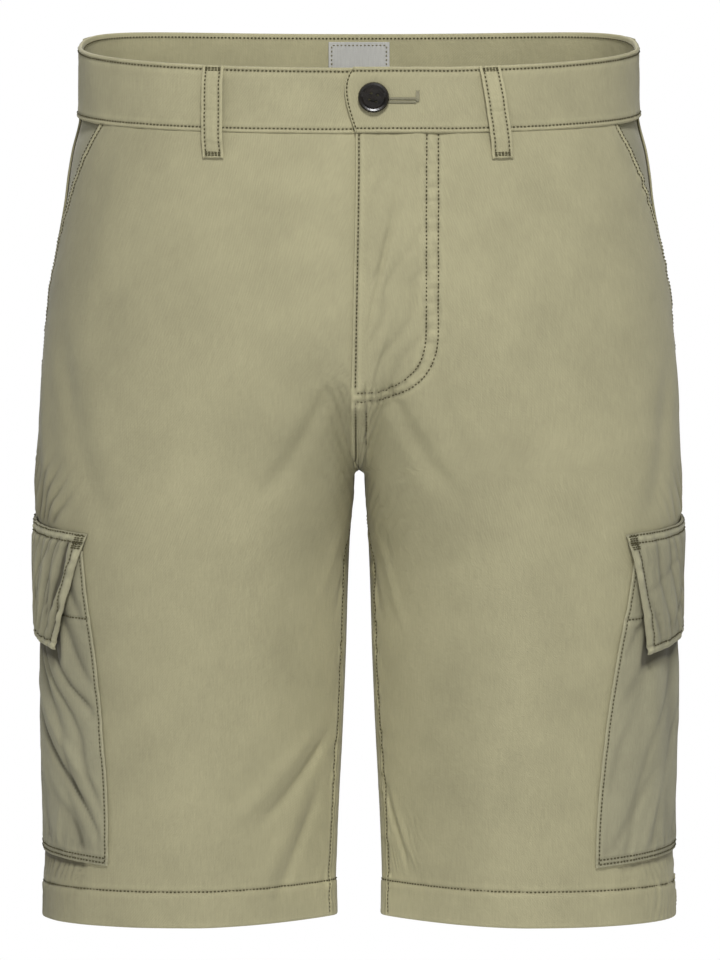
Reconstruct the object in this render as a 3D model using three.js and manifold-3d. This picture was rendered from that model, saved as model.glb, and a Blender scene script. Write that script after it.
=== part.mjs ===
// Cargo shorts, regular fit, about a 34 inch waist, hanging open as on a wearer.
// Millimetres, +Z up, -Y is the front, +X is the wearer's left. The origin is the middle of the waist.
// Every piece is a wall cut from one body surface. A place on that surface is (around, z):
// around is 0 at the centre front or inseam, 0.5 at the side seam and 1 at the centre back or inseam.
import * as THREE from "three";
import Module from "manifold-3d";
import { mergeVertices } from "three/addons/utils/BufferGeometryUtils.js";

// Driving sizes
const CROTCH_Z = -240;
const HEM_Z = -515;
const HEM_DEPTH = 22;
const HEM_STEP = 2;
const CLOTH = 1.4;
const SEAM_GAP = 0.3;
const LAID_GAP = 0.6; // on a curved panel, so that flat facets keep clear of it
const FRONT_CURVE = 50; // height over which the front crotch curve turns up
const BACK_CURVE = 85;
const BACK_PINCH = 0.8; // the back's share of the narrowing towards the inseam
const THIGH_BLEND = { low: -330, high: -150 };
const CROTCH_SOFT = { most: 1, within: 0.09, blend: 0.16, square: 0.03 }; // softness of the crotch curve beside the seam
// Half the gap between the halves, how far down they part at the seam, and how far down beside it
const CROTCH_GAP = { half: 0.2, depth: 5, besideDepth: 60, within: 0.07 };

const WAISTBAND = {
  sideTop: 20.5,
  frontDrop: 20.2,
  backRise: 13.8,
  sideBottom: -22.5,
  bottomSlope: 16.7,
  proud: 0.9,
  thick: 2.6,
  topRound: 2.2,
};
const TAB = { end: -2, belly: 6.6, lean: 1.6, round: 0.6, flatTo: 34, rampTo: 56, underlap: 32 };
const FLY = { lap: 2.6, under: 5, flatTo: 8, rampTo: 26, liftLow: -203, liftHigh: -191, lapLow: -187, lapHigh: -173 };
const SLANT_POCKET = { top: 61, length: 160, power: 1.5, facingOverlap: 14, facingGap: 0.75 };
const CARGO = {
  top: -281,
  bottom: -472.5,
  backTop: 82,
  backBottom: 82,
  slope: 0.07,
  puff: 1.9,
};
const FLAP = {
  top: -268.5,
  topSlope: 0.09,
  bottom: -336.3,
  back: 86,
  backTaper: 3,
  bottomSlope: 0.18,
  thick: 1.8,
  ridge: 0.6,
  ridgeDepth: 0.12,
  underTop: 0.3,
  underLow: 4.3,
  underCurve: 3,
};
// How far the front edges of the pocket and flap lie in front of the side seam
const CARGO_FRONT = {
  left: { pocketTop: 91, pocketBottom: 93, flapTop: 98.5, flapTip: 74 },
  right: { pocketTop: 90, pocketBottom: 83, flapTop: 95, flapTip: 61 },
};
const LOOP = { wide: 12.5, thick: 1.8, below: 16, bow: 2.4, seat: 0.45 };
const BUTTON = { x: 8.5, z: -18.6, radius: 9.2, thick: 3.2, rim: 1.9, dish: 1, holeRadius: 0.9, holeOffset: 2, off: 0.5 };
const LABEL = { wide: 39, tall: 30, below: 5, thick: 0.8 };

const COLOUR = { cloth: 0xa9a583, facing: 0x9a9678, button: 0x2a2620, label: 0xb9b9b4 };

const clamp = (x, low, high) => Math.min(high, Math.max(low, x));
const mix = (a, b, t) => a + (b - a) * t;
const ease = (low, high, x) => {
  const t = clamp((x - low) / (high - low), 0, 1);
  return t * t * (3 - 2 * t);
};
const table = (names, rows) => rows.map((row) => Object.fromEntries(names.map((name, i) => [name, row[i]])));

// Sizes of the worn form at each height. wide: side seam from the centre plane. front, back: cloth from x = 0.
// sideY: where the side seam runs. square: 2 is an ellipse, more is boxier. inner: inseam from the centre plane.
// pinch: how much the leg narrows, front to back, towards the inseam.
const SECTIONS = table(
  ["z", "wide", "front", "back", "sideY", "square", "inner", "pinch"],
  [
    [32, 171.4, 103, 105, 0, 2.2, 3.6, 0],
    [-2, 171.4, 107, 109, 1, 2.2, 3.6, 0],
    [-25, 172.2, 110, 114, 2, 2.2, 3.6, 0],
    [-45, 177, 113, 121, 3, 2.2, 3.6, 0],
    [-75, 181.6, 116, 131, 5, 2.25, 3.6, 0],
    [-122, 189.6, 118, 143, 7, 2.3, 3.6, 0],
    [-168, 194.6, 116, 146, 8, 2.35, 3.6, 0.05],
    [-205, 196.8, 111, 136, 8, 2.4, 3.6, 0.14],
    [-240, 198.2, 103, 121, 8, 2.5, 3.6, 0.26],
    [-272, 197.2, 97, 112, 7, 2.5, 5.2, 0.36],
    [-310, 194.8, 91, 104, 6, 2.45, 6.8, 0.44],
    [-352, 193, 85, 97, 5, 2.34, 8, 0.5],
    [-400, 192.6, 79, 90, 4, 2.22, 10, 0.54],
    [-450, 192.6, 75, 84, 3.5, 2.12, 12.6, 0.57],
    [-490, 194.4, 73, 80, 3, 2.07, 14, 0.58],
    [-520, 195.2, 72, 79, 3, 2.05, 13.8, 0.58],
  ],
);

// The largest folds: a centre on the cloth, the half length, the lean off the vertical (mm round for each
// mm down), the half width, and the height of the ridge, or less than 0 for a trough.
const FOLDS = table(
  ["side", "around", "z", "half", "lean", "wide", "high"],
  [
    [-1, 0.215, -330, 120, -0.1, 16, -2],
    [-1, 0.29, -300, 140, 0.05, 18, 1.8],
    [-1, 0.09, -445, 42, 0.55, 7, -2.6],
    [-1, 0.125, -425, 55, 0.5, 12, 2.2],
    [-1, 0.37, -215, 60, -0.35, 9, -2.2],
    [-1, 0.42, -225, 48, -0.3, 8, 2],
    [1, 0.06, -440, 55, -0.12, 6, -2.6],
    [1, 0.1, -450, 50, -0.2, 8, 2.4],
    [1, 0.24, -300, 150, 0.08, 20, 1.8],
    [1, 0.3, -370, 110, -0.06, 16, -1.8],
    [1, 0.4, -225, 45, -0.3, 9, -2],
    [1, 0.14, -170, 55, 0.45, 8, -1.6],
    [0, 0.13, -222, 30, 0.9, 8, -2],
    [0, 0.62, -235, 70, -0.5, 14, -3.2],
    [0, 0.7, -262, 80, -0.6, 14, 3],
    [0, 0.85, -262, 55, -0.8, 11, -3.4],
    [0, 0.9, -300, 70, -0.5, 12, 3],
    [0, 0.74, -390, 120, 0.06, 18, 2.2],
    [0, 0.66, -420, 90, -0.08, 14, -2],
  ],
);
const AROUND_MM = 600; // about how far round the cloth one unit of around is

// Smooth interpolation of a table over z, with slopes taken from the rows on each side.
function section(z) {
  const last = SECTIONS.length - 1;
  let i = SECTIONS.findIndex((row) => z >= row.z);
  i = i < 0 ? last : Math.max(i, 1);
  const [high, low] = [SECTIONS[i - 1], SECTIONS[i]];
  const [above, below] = [SECTIONS[Math.max(i - 2, 0)], SECTIONS[Math.min(i + 1, last)]];
  const span = low.z - high.z;
  const t = (z - high.z) / span;
  const at = (name) => {
    const slopeHigh = ((low[name] - above[name]) / (low.z - above.z)) * span;
    const slopeLow = ((below[name] - high[name]) / (below.z - high.z)) * span;
    const rise = low[name] - high[name];
    return (
      high[name] +
      slopeHigh * t +
      (3 * rise - 2 * slopeHigh - slopeLow) * t * t +
      (slopeHigh + slopeLow - 2 * rise) * t * t * t
    );
  };
  const row = Object.fromEntries(Object.keys(high).map((name) => [name, at(name)]));
  const parted = Math.sqrt(clamp((CROTCH_Z - z) / CROTCH_GAP.depth, 0, 1));
  row.seamInner = mix(CROTCH_GAP.half, row.inner, parted);
  row.inner = mix(CROTCH_GAP.half, row.inner, ease(0, CROTCH_GAP.besideDepth, CROTCH_Z - z));
  return row;
}

// A closed ring round one leg.
function legRing(s, around) {
  const turn = 2 * Math.PI * around;
  const [c, n] = [Math.cos(turn), Math.sin(turn)];
  const reach = (Math.abs(c) ** s.square + Math.abs(n) ** s.square) ** (-1 / s.square);
  const depth = n > 0 ? s.front + s.sideY : s.back - s.sideY;
  const inward = Math.min(Math.abs(around), Math.abs(1 - around));
  const inner = mix(s.seamInner, s.inner, ease(0, CROTCH_GAP.within, inward));
  const middle = (s.wide + inner) / 2;
  const narrow = 1 - s.pinch * (n > 0 ? 1 : BACK_PINCH) * Math.max(c * reach, 0) ** 2;
  return [middle - ((s.wide - inner) / 2) * c * reach, s.sideY - depth * narrow * n * reach];
}

// How x grows round the inner quarter of the hips, evenly enough to meet the leg's own spacing.
function hipShare(s) {
  return (0.5 * Math.PI * (s.wide - s.inner)) / (s.wide + s.inner);
}

// Half of the ring round both hips. A place before the centre front has x less than 0.
function hipRing(s, around) {
  const half = around <= 0.5 ? around : 1 - around;
  const size = Math.abs(half);
  const bend = hipShare(s);
  const share = size * 4;
  const middle = (s.wide + s.inner) / 2;
  const x = size < 0.25 ? middle * ((2 - bend) * share + (bend - 1) * share ** 2) : legRing(s, size)[0];
  const curve = (1 - clamp(x / s.wide, 0, 1) ** s.square) ** (1 / s.square);
  const depth = around <= 0.5 ? -(s.front + s.sideY) : s.back - s.sideY;
  return [half < 0 ? -x : x, s.sideY + depth * curve];
}

// The place round the front, at height z, that lies x from the centre plane.
function aroundAtX(x, z) {
  const s = section(z);
  const bend = hipShare(s);
  const target = Math.abs(x) / ((s.wide + s.inner) / 2);
  const root = Math.sqrt((2 - bend) ** 2 + 4 * (bend - 1) * target);
  return (Math.sign(x) * (root - (2 - bend))) / (2 * (bend - 1)) / 4;
}

// A quarter round arch that rises from 0 to 1, and the area under it.
const arch = (up) => Math.sqrt(1 - (1 - clamp(up, 0, 1)) ** 2);
function archArea(up) {
  const u = clamp(up, 0, 1);
  return ((u - 1) * arch(u) + Math.asin(u - 1) + Math.PI / 2) / 2 + Math.max(up - 1, 0);
}

// How far the two legs have become one ring: 0 is legs alone, 1 is hips. It is a sharp arch at the
// seam, and a soft one beside it.
function joined(around, z) {
  const [curve, inward] = around <= 0.5 ? [FRONT_CURVE, Math.abs(around)] : [BACK_CURVE, Math.abs(1 - around)];
  const up = (z - CROTCH_Z) / curve;
  const soft = CROTCH_SOFT.most * ease(0, CROTCH_SOFT.within, inward);
  const rise = soft > 0.001 ? (archArea(up + soft) - archArea(up - soft)) / (2 * soft) : arch(up);
  return mix(rise, ease(THIGH_BLEND.low, THIGH_BLEND.high, z), ease(0, CROTCH_SOFT.blend, inward));
}

function bodyPoint(around, z) {
  const s = section(z);
  const share = joined(around, z);
  const hip = hipRing(s, around);
  const leg = legRing(s, around);
  return new THREE.Vector3(mix(leg[0], hip[0], share), mix(leg[1], hip[1], share), z);
}

function bodyNormal(around, z) {
  const [small, step] = [0.004, 1];
  const low = around < 0 || around > small ? around - small : around;
  const high = around > 1 - small && around <= 1 ? around : around + small;
  const round = bodyPoint(high, z).sub(bodyPoint(low, z));
  const up = bodyPoint(around, z + step).sub(bodyPoint(around, z - step));
  const normal = round.cross(up).normalize();
  const inward = Math.abs(around <= 0.5 ? around : 1 - around);
  if (normal.x > 0) normal.x *= ease(0, CROTCH_SOFT.square, inward); // square to the centre plane at its seams
  return normal.normalize();
}

function foldHeight(side, around, z) {
  let sum = 0;
  for (const fold of FOLDS) {
    if (fold.side && fold.side !== side) continue;
    const down = fold.z - z;
    const across = (around - fold.around) * AROUND_MM - fold.lean * down;
    sum += fold.high * Math.exp(-((across / fold.wide) ** 2) - (down / fold.half) ** 4);
  }
  return sum;
}

// A point of the cloth, lifted off the body surface along its normal.
function cloth(side, around, z, lift) {
  const point = bodyPoint(around, z);
  point.addScaledVector(bodyNormal(around, z), lift + foldHeight(side, around, z));
  point.x *= side;
  return point;
}

// The place round the cloth that is arc millimetres in front of the side seam, or behind it if arc is less than 0.
function aroundAtArc(arc, z) {
  const step = arc > 0 ? -0.004 : 0.004;
  let [around, left] = [0.5, Math.abs(arc)];
  let here = bodyPoint(around, z);
  for (;;) {
    const next = bodyPoint(around + step, z);
    const length = next.distanceTo(here);
    if (length >= left) return around + (step * left) / length;
    left -= length;
    around += step;
    here = next;
  }
}

// A closed wall between two lifts off the body. at(a, b) gives [around, z] for a and b from 0 to 1.
function wall({ side, columns, rows, at, inner, outer }) {
  const corners = [];
  for (const lift of [inner, outer])
    for (let j = 0; j <= rows; j++)
      for (let i = 0; i <= columns; i++) {
        const [a, b] = [i / columns, j / rows];
        const [around, z] = at(a, b);
        corners.push(cloth(side, around, z, lift(a, b, around, z)));
      }
  const layer = (columns + 1) * (rows + 1);
  const index = (i, j, level) => level * layer + j * (columns + 1) + i;
  const faces = [];
  const quad = (p, q, r, s) => faces.push(...(side > 0 ? [p, q, r, p, r, s] : [p, r, q, p, s, r]));
  for (let j = 0; j < rows; j++)
    for (let i = 0; i < columns; i++) {
      quad(index(i, j, 1), index(i + 1, j, 1), index(i + 1, j + 1, 1), index(i, j + 1, 1));
      quad(index(i, j, 0), index(i, j + 1, 0), index(i + 1, j + 1, 0), index(i + 1, j, 0));
    }
  for (let i = 0; i < columns; i++) {
    quad(index(i, 0, 0), index(i + 1, 0, 0), index(i + 1, 0, 1), index(i, 0, 1));
    quad(index(i + 1, rows, 0), index(i, rows, 0), index(i, rows, 1), index(i + 1, rows, 1));
  }
  for (let j = 0; j < rows; j++) {
    quad(index(0, j + 1, 0), index(0, j, 0), index(0, j, 1), index(0, j + 1, 1));
    quad(index(columns, j, 0), index(columns, j + 1, 0), index(columns, j + 1, 1), index(columns, j, 1));
  }
  const geometry = new THREE.BufferGeometry();
  geometry.setAttribute("position", new THREE.Float32BufferAttribute(corners.flatMap((p) => p.toArray()), 3));
  geometry.setIndex(faces);
  geometry.computeVertexNormals();
  return geometry;
}

// The waistband's edges, lower in front and higher behind.
function waistLean(around) {
  const s = section(0);
  const [, y] = hipRing(s, around);
  return y < s.sideY ? (y - s.sideY) / (s.front + s.sideY) : (y - s.sideY) / (s.back - s.sideY);
}
function bandTop(around) {
  const lean = waistLean(around);
  const rise = lean < 0 ? WAISTBAND.frontDrop * lean : WAISTBAND.backRise * (1 - (1 - lean) ** WAISTBAND.topRound);
  return WAISTBAND.sideTop + rise;
}
function bandBottom(around) {
  return WAISTBAND.sideBottom + WAISTBAND.bottomSlope * waistLean(around);
}

// A place whose height depends on how far round it is, found by going back and forth.
function settle(around, heightAt, placeAt) {
  for (let pass = 0; pass < 4; pass++) around = placeAt(heightAt(around));
  return [around, heightAt(around)];
}

// Seam allowances: how much of around is left out so that neighbours stay SEAM_GAP apart.
function centreTrim(z) {
  const s = section(z);
  const hip = 2 * (2 - hipShare(s)) * (s.wide + s.inner);
  const leg = 2 * Math.PI * s.front;
  return SEAM_GAP / 2 / mix(leg, hip, clamp((z - CROTCH_Z) / FRONT_CURVE, 0, 1));
}
function sideTrim(z) {
  return SEAM_GAP / 2 / (2 * Math.PI * section(z).front);
}

// Rows of a panel: evenly down the leg, with two rows at the hem, closer round the crotch curve, then up to the band.
function panelRows(curve, legRows, archRows, hipRows) {
  const rows = [];
  const hemTop = HEM_Z + HEM_DEPTH;
  rows.push(() => HEM_Z, () => hemTop);
  for (let i = 0; i < legRows; i++) rows.push(() => mix(hemTop + HEM_STEP, CROTCH_Z, i / legRows));
  for (let i = 0; i < archRows; i++)
    rows.push(() => CROTCH_Z + curve * (1 - Math.cos((Math.PI / 2) * (i / archRows))));
  for (let i = 0; i <= hipRows; i++)
    rows.push((around) => mix(CROTCH_Z + curve, bandBottom(around) - SEAM_GAP, i / hipRows));
  return rows;
}

// The slant pocket's opening: how far in front of the side seam the front panel ends.
function openingArc(z) {
  const start = WAISTBAND.sideBottom;
  return SLANT_POCKET.top * clamp(1 - (start - z) / SLANT_POCKET.length, 0, 1) ** SLANT_POCKET.power;
}

const hemThickness = (z) => (z < HEM_Z + HEM_DEPTH + HEM_STEP / 2 ? CLOTH + 1 : CLOTH);

// The wearer's left front laps over the right one down the fly, so it is lifted there.
function flyLift(x, z) {
  const up = ease(FLY.liftLow, FLY.liftHigh, z);
  return (CLOTH + LAID_GAP) * up * (1 - ease(FLY.flatTo, FLY.rampTo, x));
}

function frontPanel(side) {
  const rows = panelRows(FRONT_CURVE, 12, 6, 9);
  const lap = side > 0 ? -FLY.lap : -FLY.under;
  const at = (a, b) => {
    const spread = 1.25 * a - 0.25 * a * a;
    const place = (z) => {
      const share = ease(FLY.lapLow, FLY.lapHigh, z);
      const start = mix(centreTrim(z), aroundAtX(lap, z), share);
      const end = openingArc(z) > 0 ? aroundAtArc(openingArc(z) + SEAM_GAP / 2, z) : 0.5 - sideTrim(z);
      return mix(start, end, spread);
    };
    return settle(spread / 2, rows[Math.round(b * (rows.length - 1))], place);
  };
  const lift = (around, z) => (side > 0 ? flyLift(bodyPoint(around, z).x, z) : 0);
  return wall({
    side,
    columns: 19,
    rows: rows.length - 1,
    at,
    inner: (a, b, around, z) => lift(around, z) - hemThickness(z),
    outer: (a, b, around, z) => lift(around, z),
  });
}

function backPanel(side) {
  const rows = panelRows(BACK_CURVE, 12, 6, 8);
  const at = (a, b) => {
    const z = rows[Math.round(b * (rows.length - 1))](mix(0.5, 1, a));
    return [mix(0.5 + sideTrim(z), 1 - centreTrim(z), a), z];
  };
  return wall({
    side,
    columns: 17,
    rows: rows.length - 1,
    at,
    inner: (a, b, around, z) => -hemThickness(z),
    outer: () => 0,
  });
}

// What shows behind the slant pocket's opening: the hip piece that carries the pocket.
function pocketFacing(side) {
  const low = WAISTBAND.sideBottom - SLANT_POCKET.length;
  const outer = -CLOTH - SLANT_POCKET.facingGap;
  return wall({
    side,
    columns: 7,
    rows: 9,
    at: (a, b) => {
      const height = (around) => mix(low, bandBottom(around) - SEAM_GAP, b);
      const place = (z) => {
        const front = aroundAtArc(openingArc(z) + SLANT_POCKET.facingOverlap, z);
        return mix(front, 0.5 - sideTrim(z), a);
      };
      return settle(mix(0.42, 0.5, a), height, place);
    },
    inner: () => outer - CLOTH,
    outer: () => outer,
  });
}

// The waistband's left half ends in a rounded tab over the fly. The right half runs on under it.
function waistband(side) {
  const under = WAISTBAND.proud - WAISTBAND.thick;
  const at = (a, b) => {
    const middleZ = mix(bandBottom(0), bandTop(0), b);
    const tabX = TAB.end - TAB.belly * Math.sin(Math.PI * clamp(b, 0.02, 0.98) ** TAB.lean) ** TAB.round;
    const start = aroundAtX(side > 0 ? tabX : -TAB.underlap, middleZ);
    const around = mix(start, 1 - centreTrim(0), a ** 1.15);
    return [around, mix(bandBottom(around), bandTop(around), b)];
  };
  const lift = (around, z) => {
    if (side < 0) return 0;
    return (WAISTBAND.thick + SEAM_GAP) * (1 - ease(TAB.flatTo, TAB.rampTo, bodyPoint(around, z).x));
  };
  return wall({
    side,
    columns: 46,
    rows: 4,
    at,
    inner: (a, b, around, z) => (around > 0.6 ? 0 : lift(around, z)) + under,
    outer: (a, b, around, z) => (around > 0.6 ? 0 : lift(around, z)) + WAISTBAND.proud,
  });
}

const cargoPuff = (a, b) => CARGO.puff * Math.sin(Math.PI * a) ** 0.6 * Math.sin(Math.PI * b) ** 0.7;

function cargoPocket(side) {
  const front = side > 0 ? CARGO_FRONT.left : CARGO_FRONT.right;
  return wall({
    side,
    columns: 13,
    rows: 12,
    at: (a, b) => {
      const start = mix(front.pocketBottom, front.pocketTop, b);
      const arc = mix(start, -mix(CARGO.backBottom, CARGO.backTop, b), a);
      const z = mix(CARGO.bottom, CARGO.top, b) - CARGO.slope * arc;
      return [aroundAtArc(arc, z), z];
    },
    inner: (a, b) => LAID_GAP + cargoPuff(a, b),
    outer: (a, b) => LAID_GAP + CLOTH + cargoPuff(a, b),
  });
}

function cargoFlap(side) {
  const front = side > 0 ? CARGO_FRONT.left : CARGO_FRONT.right;
  const under = (b) => mix(FLAP.underLow, FLAP.underTop, b ** FLAP.underCurve);
  return wall({
    side,
    columns: 13,
    rows: 8,
    at: (a, b) => {
      const arc = mix(mix(front.flapTip, front.flapTop, b), -(FLAP.back - FLAP.backTaper * (1 - b)), a);
      const bottomSlope = arc > 0 ? FLAP.bottomSlope : CARGO.slope;
      const z = mix(FLAP.bottom - bottomSlope * arc, FLAP.top - FLAP.topSlope * arc, b);
      return [aroundAtArc(arc, z), z];
    },
    inner: (a, b) => LAID_GAP + under(b),
    outer: (a, b) => LAID_GAP + under(b) + FLAP.thick + FLAP.ridge * Math.exp(-(((1 - b) / FLAP.ridgeDepth - 0.6) ** 2)),
  });
}

// A belt loop: tacked at the band's top edge and below the band, bowed off it between.
// topX and bottomX are millimetres from the centre front, or arc behind the side seam, or from the centre back.
function beltLoop({ side, place, topAt, bottomAt }) {
  const at = (a, b) => {
    const offset = mix(-LOOP.wide / 2, LOOP.wide / 2, a);
    const middle = mix(bottomAt, topAt, b);
    const find = {
      front: (z) => aroundAtX(middle + offset, z),
      side: (z) => aroundAtArc(-(middle + offset), z),
      back: (z) => 1 - aroundAtX(middle - offset, z),
    }[place];
    const around = find(0);
    const z = mix(bandBottom(around) - LOOP.below, bandTop(around) - SEAM_GAP, b);
    return [find(z), z];
  };
  const seat = (b) => LOOP.seat + WAISTBAND.proud * ease(0.08, 0.2, b);
  const bow = (b) => LOOP.bow * Math.sin(Math.PI * b) ** 0.7;
  return wall({
    side,
    columns: 2,
    rows: 12,
    at,
    inner: (a, b) => seat(b) + bow(b),
    outer: (a, b) => seat(b) + bow(b) + LOOP.thick,
  });
}

// The four-hole button: a dished disc with a rim, its holes cut through.
async function button() {
  const wasm = await Module();
  wasm.setup();
  const solid = (geometry) => {
    geometry.deleteAttribute("normal");
    geometry.deleteAttribute("uv");
    const merged = mergeVertices(geometry, 1e-4);
    const mesh = { numProp: 3, vertProperties: merged.attributes.position.array, triVerts: merged.index.array };
    return new wasm.Manifold(new wasm.Mesh(mesh));
  };
  const { radius, thick, rim, dish } = BUTTON;
  const profile = [
    [0, 0],
    [radius * 0.8, 0],
    [radius * 0.96, thick * 0.3],
    [radius, thick * 0.6],
    [radius - rim * 0.4, thick],
    [radius - rim, thick * 0.92],
    [radius - rim * 1.5, thick - dish],
    [0, thick - dish],
  ].map(([x, y]) => new THREE.Vector2(x, y));
  let disc = solid(new THREE.LatheGeometry(profile, 28));
  for (const [x, z] of [[1, 1], [1, -1], [-1, 1], [-1, -1]]) {
    const drill = new THREE.CylinderGeometry(BUTTON.holeRadius, BUTTON.holeRadius, 4 * thick, 10);
    drill.translate(x * BUTTON.holeOffset, 0, z * BUTTON.holeOffset);
    disc = disc.subtract(solid(drill));
  }
  const made = disc.getMesh();
  const geometry = new THREE.BufferGeometry();
  geometry.setAttribute("position", new THREE.Float32BufferAttribute(made.vertProperties, 3));
  geometry.setIndex(Array.from(made.triVerts));
  return geometry.toNonIndexed();
}

// The woven label inside the centre back, half on each side of the seam.
function label() {
  const top = bandTop(1) - LABEL.below;
  const outer = WAISTBAND.proud - WAISTBAND.thick - SEAM_GAP;
  return wall({
    side: 1,
    columns: 8,
    rows: 2,
    at: (a, b) => {
      const x = mix(LABEL.wide / 2, -LABEL.wide / 2, a);
      const z = top - LABEL.tall * (1 - b);
      return [1 - aroundAtX(x, z), z];
    },
    inner: () => outer - LABEL.thick,
    outer: () => outer,
  });
}

const shorts = new THREE.Group();
const finish = { cloth: [COLOUR.cloth, 0.9], facing: [COLOUR.facing, 0.9], button: [COLOUR.button, 0.35], label: [COLOUR.label, 0.7] };
function add(name, geometry, kind = "cloth") {
  if (!geometry.getAttribute("normal")) geometry.computeVertexNormals();
  const [color, roughness] = finish[kind];
  const mesh = new THREE.Mesh(geometry, new THREE.MeshStandardMaterial({ color, roughness, metalness: 0 }));
  mesh.name = name;
  shorts.add(mesh);
  return mesh;
}

for (const [word, side] of [["left", 1], ["right", -1]]) {
  add("front_" + word, frontPanel(side));
  add("back_" + word, backPanel(side));
  add("pocket_facing_" + word, pocketFacing(side), "facing");
  add("waistband_" + word, waistband(side));
  add("cargo_pocket_" + word, cargoPocket(side));
  add("cargo_flap_" + word, cargoFlap(side));
}

// Where the six belt loops are tacked, from the centre front, the side seam and the centre back.
const LOOPS = table(
  ["name", "side", "place", "topAt", "bottomAt"],
  [
    ["belt_loop_front_left", 1, "front", 77, 85],
    ["belt_loop_front_right", -1, "front", 86, 86],
    ["belt_loop_side_left", 1, "side", 30, 30],
    ["belt_loop_side_right", -1, "side", 30, 30],
    ["belt_loop_back_left", 1, "back", 21, 21],
    ["belt_loop_back_right", -1, "back", 21, 21],
  ],
);
for (const loop of LOOPS) add(loop.name, beltLoop(loop));

const buttonMesh = add("button", await button(), "button");
const buttonAround = aroundAtX(BUTTON.x, BUTTON.z);
const buttonLift = WAISTBAND.proud + WAISTBAND.thick + SEAM_GAP + BUTTON.off;
buttonMesh.position.copy(cloth(1, buttonAround, BUTTON.z, buttonLift));
buttonMesh.quaternion.setFromUnitVectors(new THREE.Vector3(0, 1, 0), bodyNormal(buttonAround, BUTTON.z));

add("label_back", label(), "label");

export default shorts;
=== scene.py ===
"""Cargo shorts hanging open as on a wearer: cloth, stitching, button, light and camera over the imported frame.

Sizes are in millimetres until a mesh is made. +Z is up, -Y is the front and +X is the wearer's left.
A place on the cloth is (around, z): around is 0 at the centre front or inseam, 0.5 at the side seam
and 1 at the centre back or inseam, as in the CAD, so each piece lies on its own solid's form.
"""
import math
from types import SimpleNamespace

import bpy
import numpy as np
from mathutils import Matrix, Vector


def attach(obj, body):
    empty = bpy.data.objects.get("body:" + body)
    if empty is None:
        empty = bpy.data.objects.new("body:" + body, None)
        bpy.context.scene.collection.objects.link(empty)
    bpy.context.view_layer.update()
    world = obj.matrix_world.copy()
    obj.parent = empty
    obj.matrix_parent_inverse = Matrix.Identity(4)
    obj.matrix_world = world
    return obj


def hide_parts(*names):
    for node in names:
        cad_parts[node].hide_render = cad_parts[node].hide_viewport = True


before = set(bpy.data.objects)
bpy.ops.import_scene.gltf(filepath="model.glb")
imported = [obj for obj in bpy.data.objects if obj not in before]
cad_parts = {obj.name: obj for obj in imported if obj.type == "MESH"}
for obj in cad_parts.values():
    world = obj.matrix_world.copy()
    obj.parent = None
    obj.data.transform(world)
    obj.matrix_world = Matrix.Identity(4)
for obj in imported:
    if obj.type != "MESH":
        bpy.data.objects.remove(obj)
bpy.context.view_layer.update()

MM = 0.001
rng = np.random.default_rng(7)

# The body surface
CROTCH_Z = -240.0
HEM_Z = -515.0
HEM_DEPTH = 22.0
CLOTH = 1.4
LAID_GAP = 0.6
FRONT_CURVE, BACK_CURVE = 50.0, 85.0
THIGH_BLEND = (-330.0, -150.0)
CROTCH_GAP = SimpleNamespace(half=0.2, depth=4.0, beside_depth=60.0, within=0.07)
CROTCH_SOFT = SimpleNamespace(most=1.0, within=0.09, blend=0.16, square=0.03)
SECTION_NAMES = ("z", "wide", "front", "back", "side_y", "square", "inner", "pinch")
SECTIONS = np.array(
    [
        [32, 171.4, 103, 105, 0, 2.2, 3.6, 0],
        [-2, 171.4, 107, 109, 1, 2.2, 3.6, 0],
        [-25, 172.2, 110, 114, 2, 2.2, 3.6, 0],
        [-45, 177, 113, 121, 3, 2.2, 3.6, 0],
        [-75, 181.6, 116, 131, 5, 2.25, 3.6, 0],
        [-122, 189.6, 118, 143, 7, 2.3, 3.6, 0],
        [-168, 194.6, 116, 146, 8, 2.35, 3.6, 0.05],
        [-205, 196.8, 111, 136, 8, 2.4, 3.6, 0.14],
        [-240, 198.2, 103, 121, 8, 2.5, 3.6, 0.26],
        [-272, 197.2, 97, 112, 7, 2.5, 5.2, 0.36],
        [-310, 194.8, 91, 104, 6, 2.45, 6.8, 0.44],
        [-352, 193, 85, 97, 5, 2.34, 8, 0.5],
        [-400, 192.6, 79, 90, 4, 2.22, 10, 0.54],
        [-450, 192.6, 75, 84, 3.5, 2.12, 12.6, 0.57],
        [-490, 194.4, 73, 80, 3, 2.07, 14, 0.58],
        [-520, 195.2, 72, 79, 3, 2.05, 13.8, 0.58],
    ],
    float,
)
BACK_PINCH = 0.8
AROUND_MM = 600.0
CENTRE_CALM = (0.008, 0.04)

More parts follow.
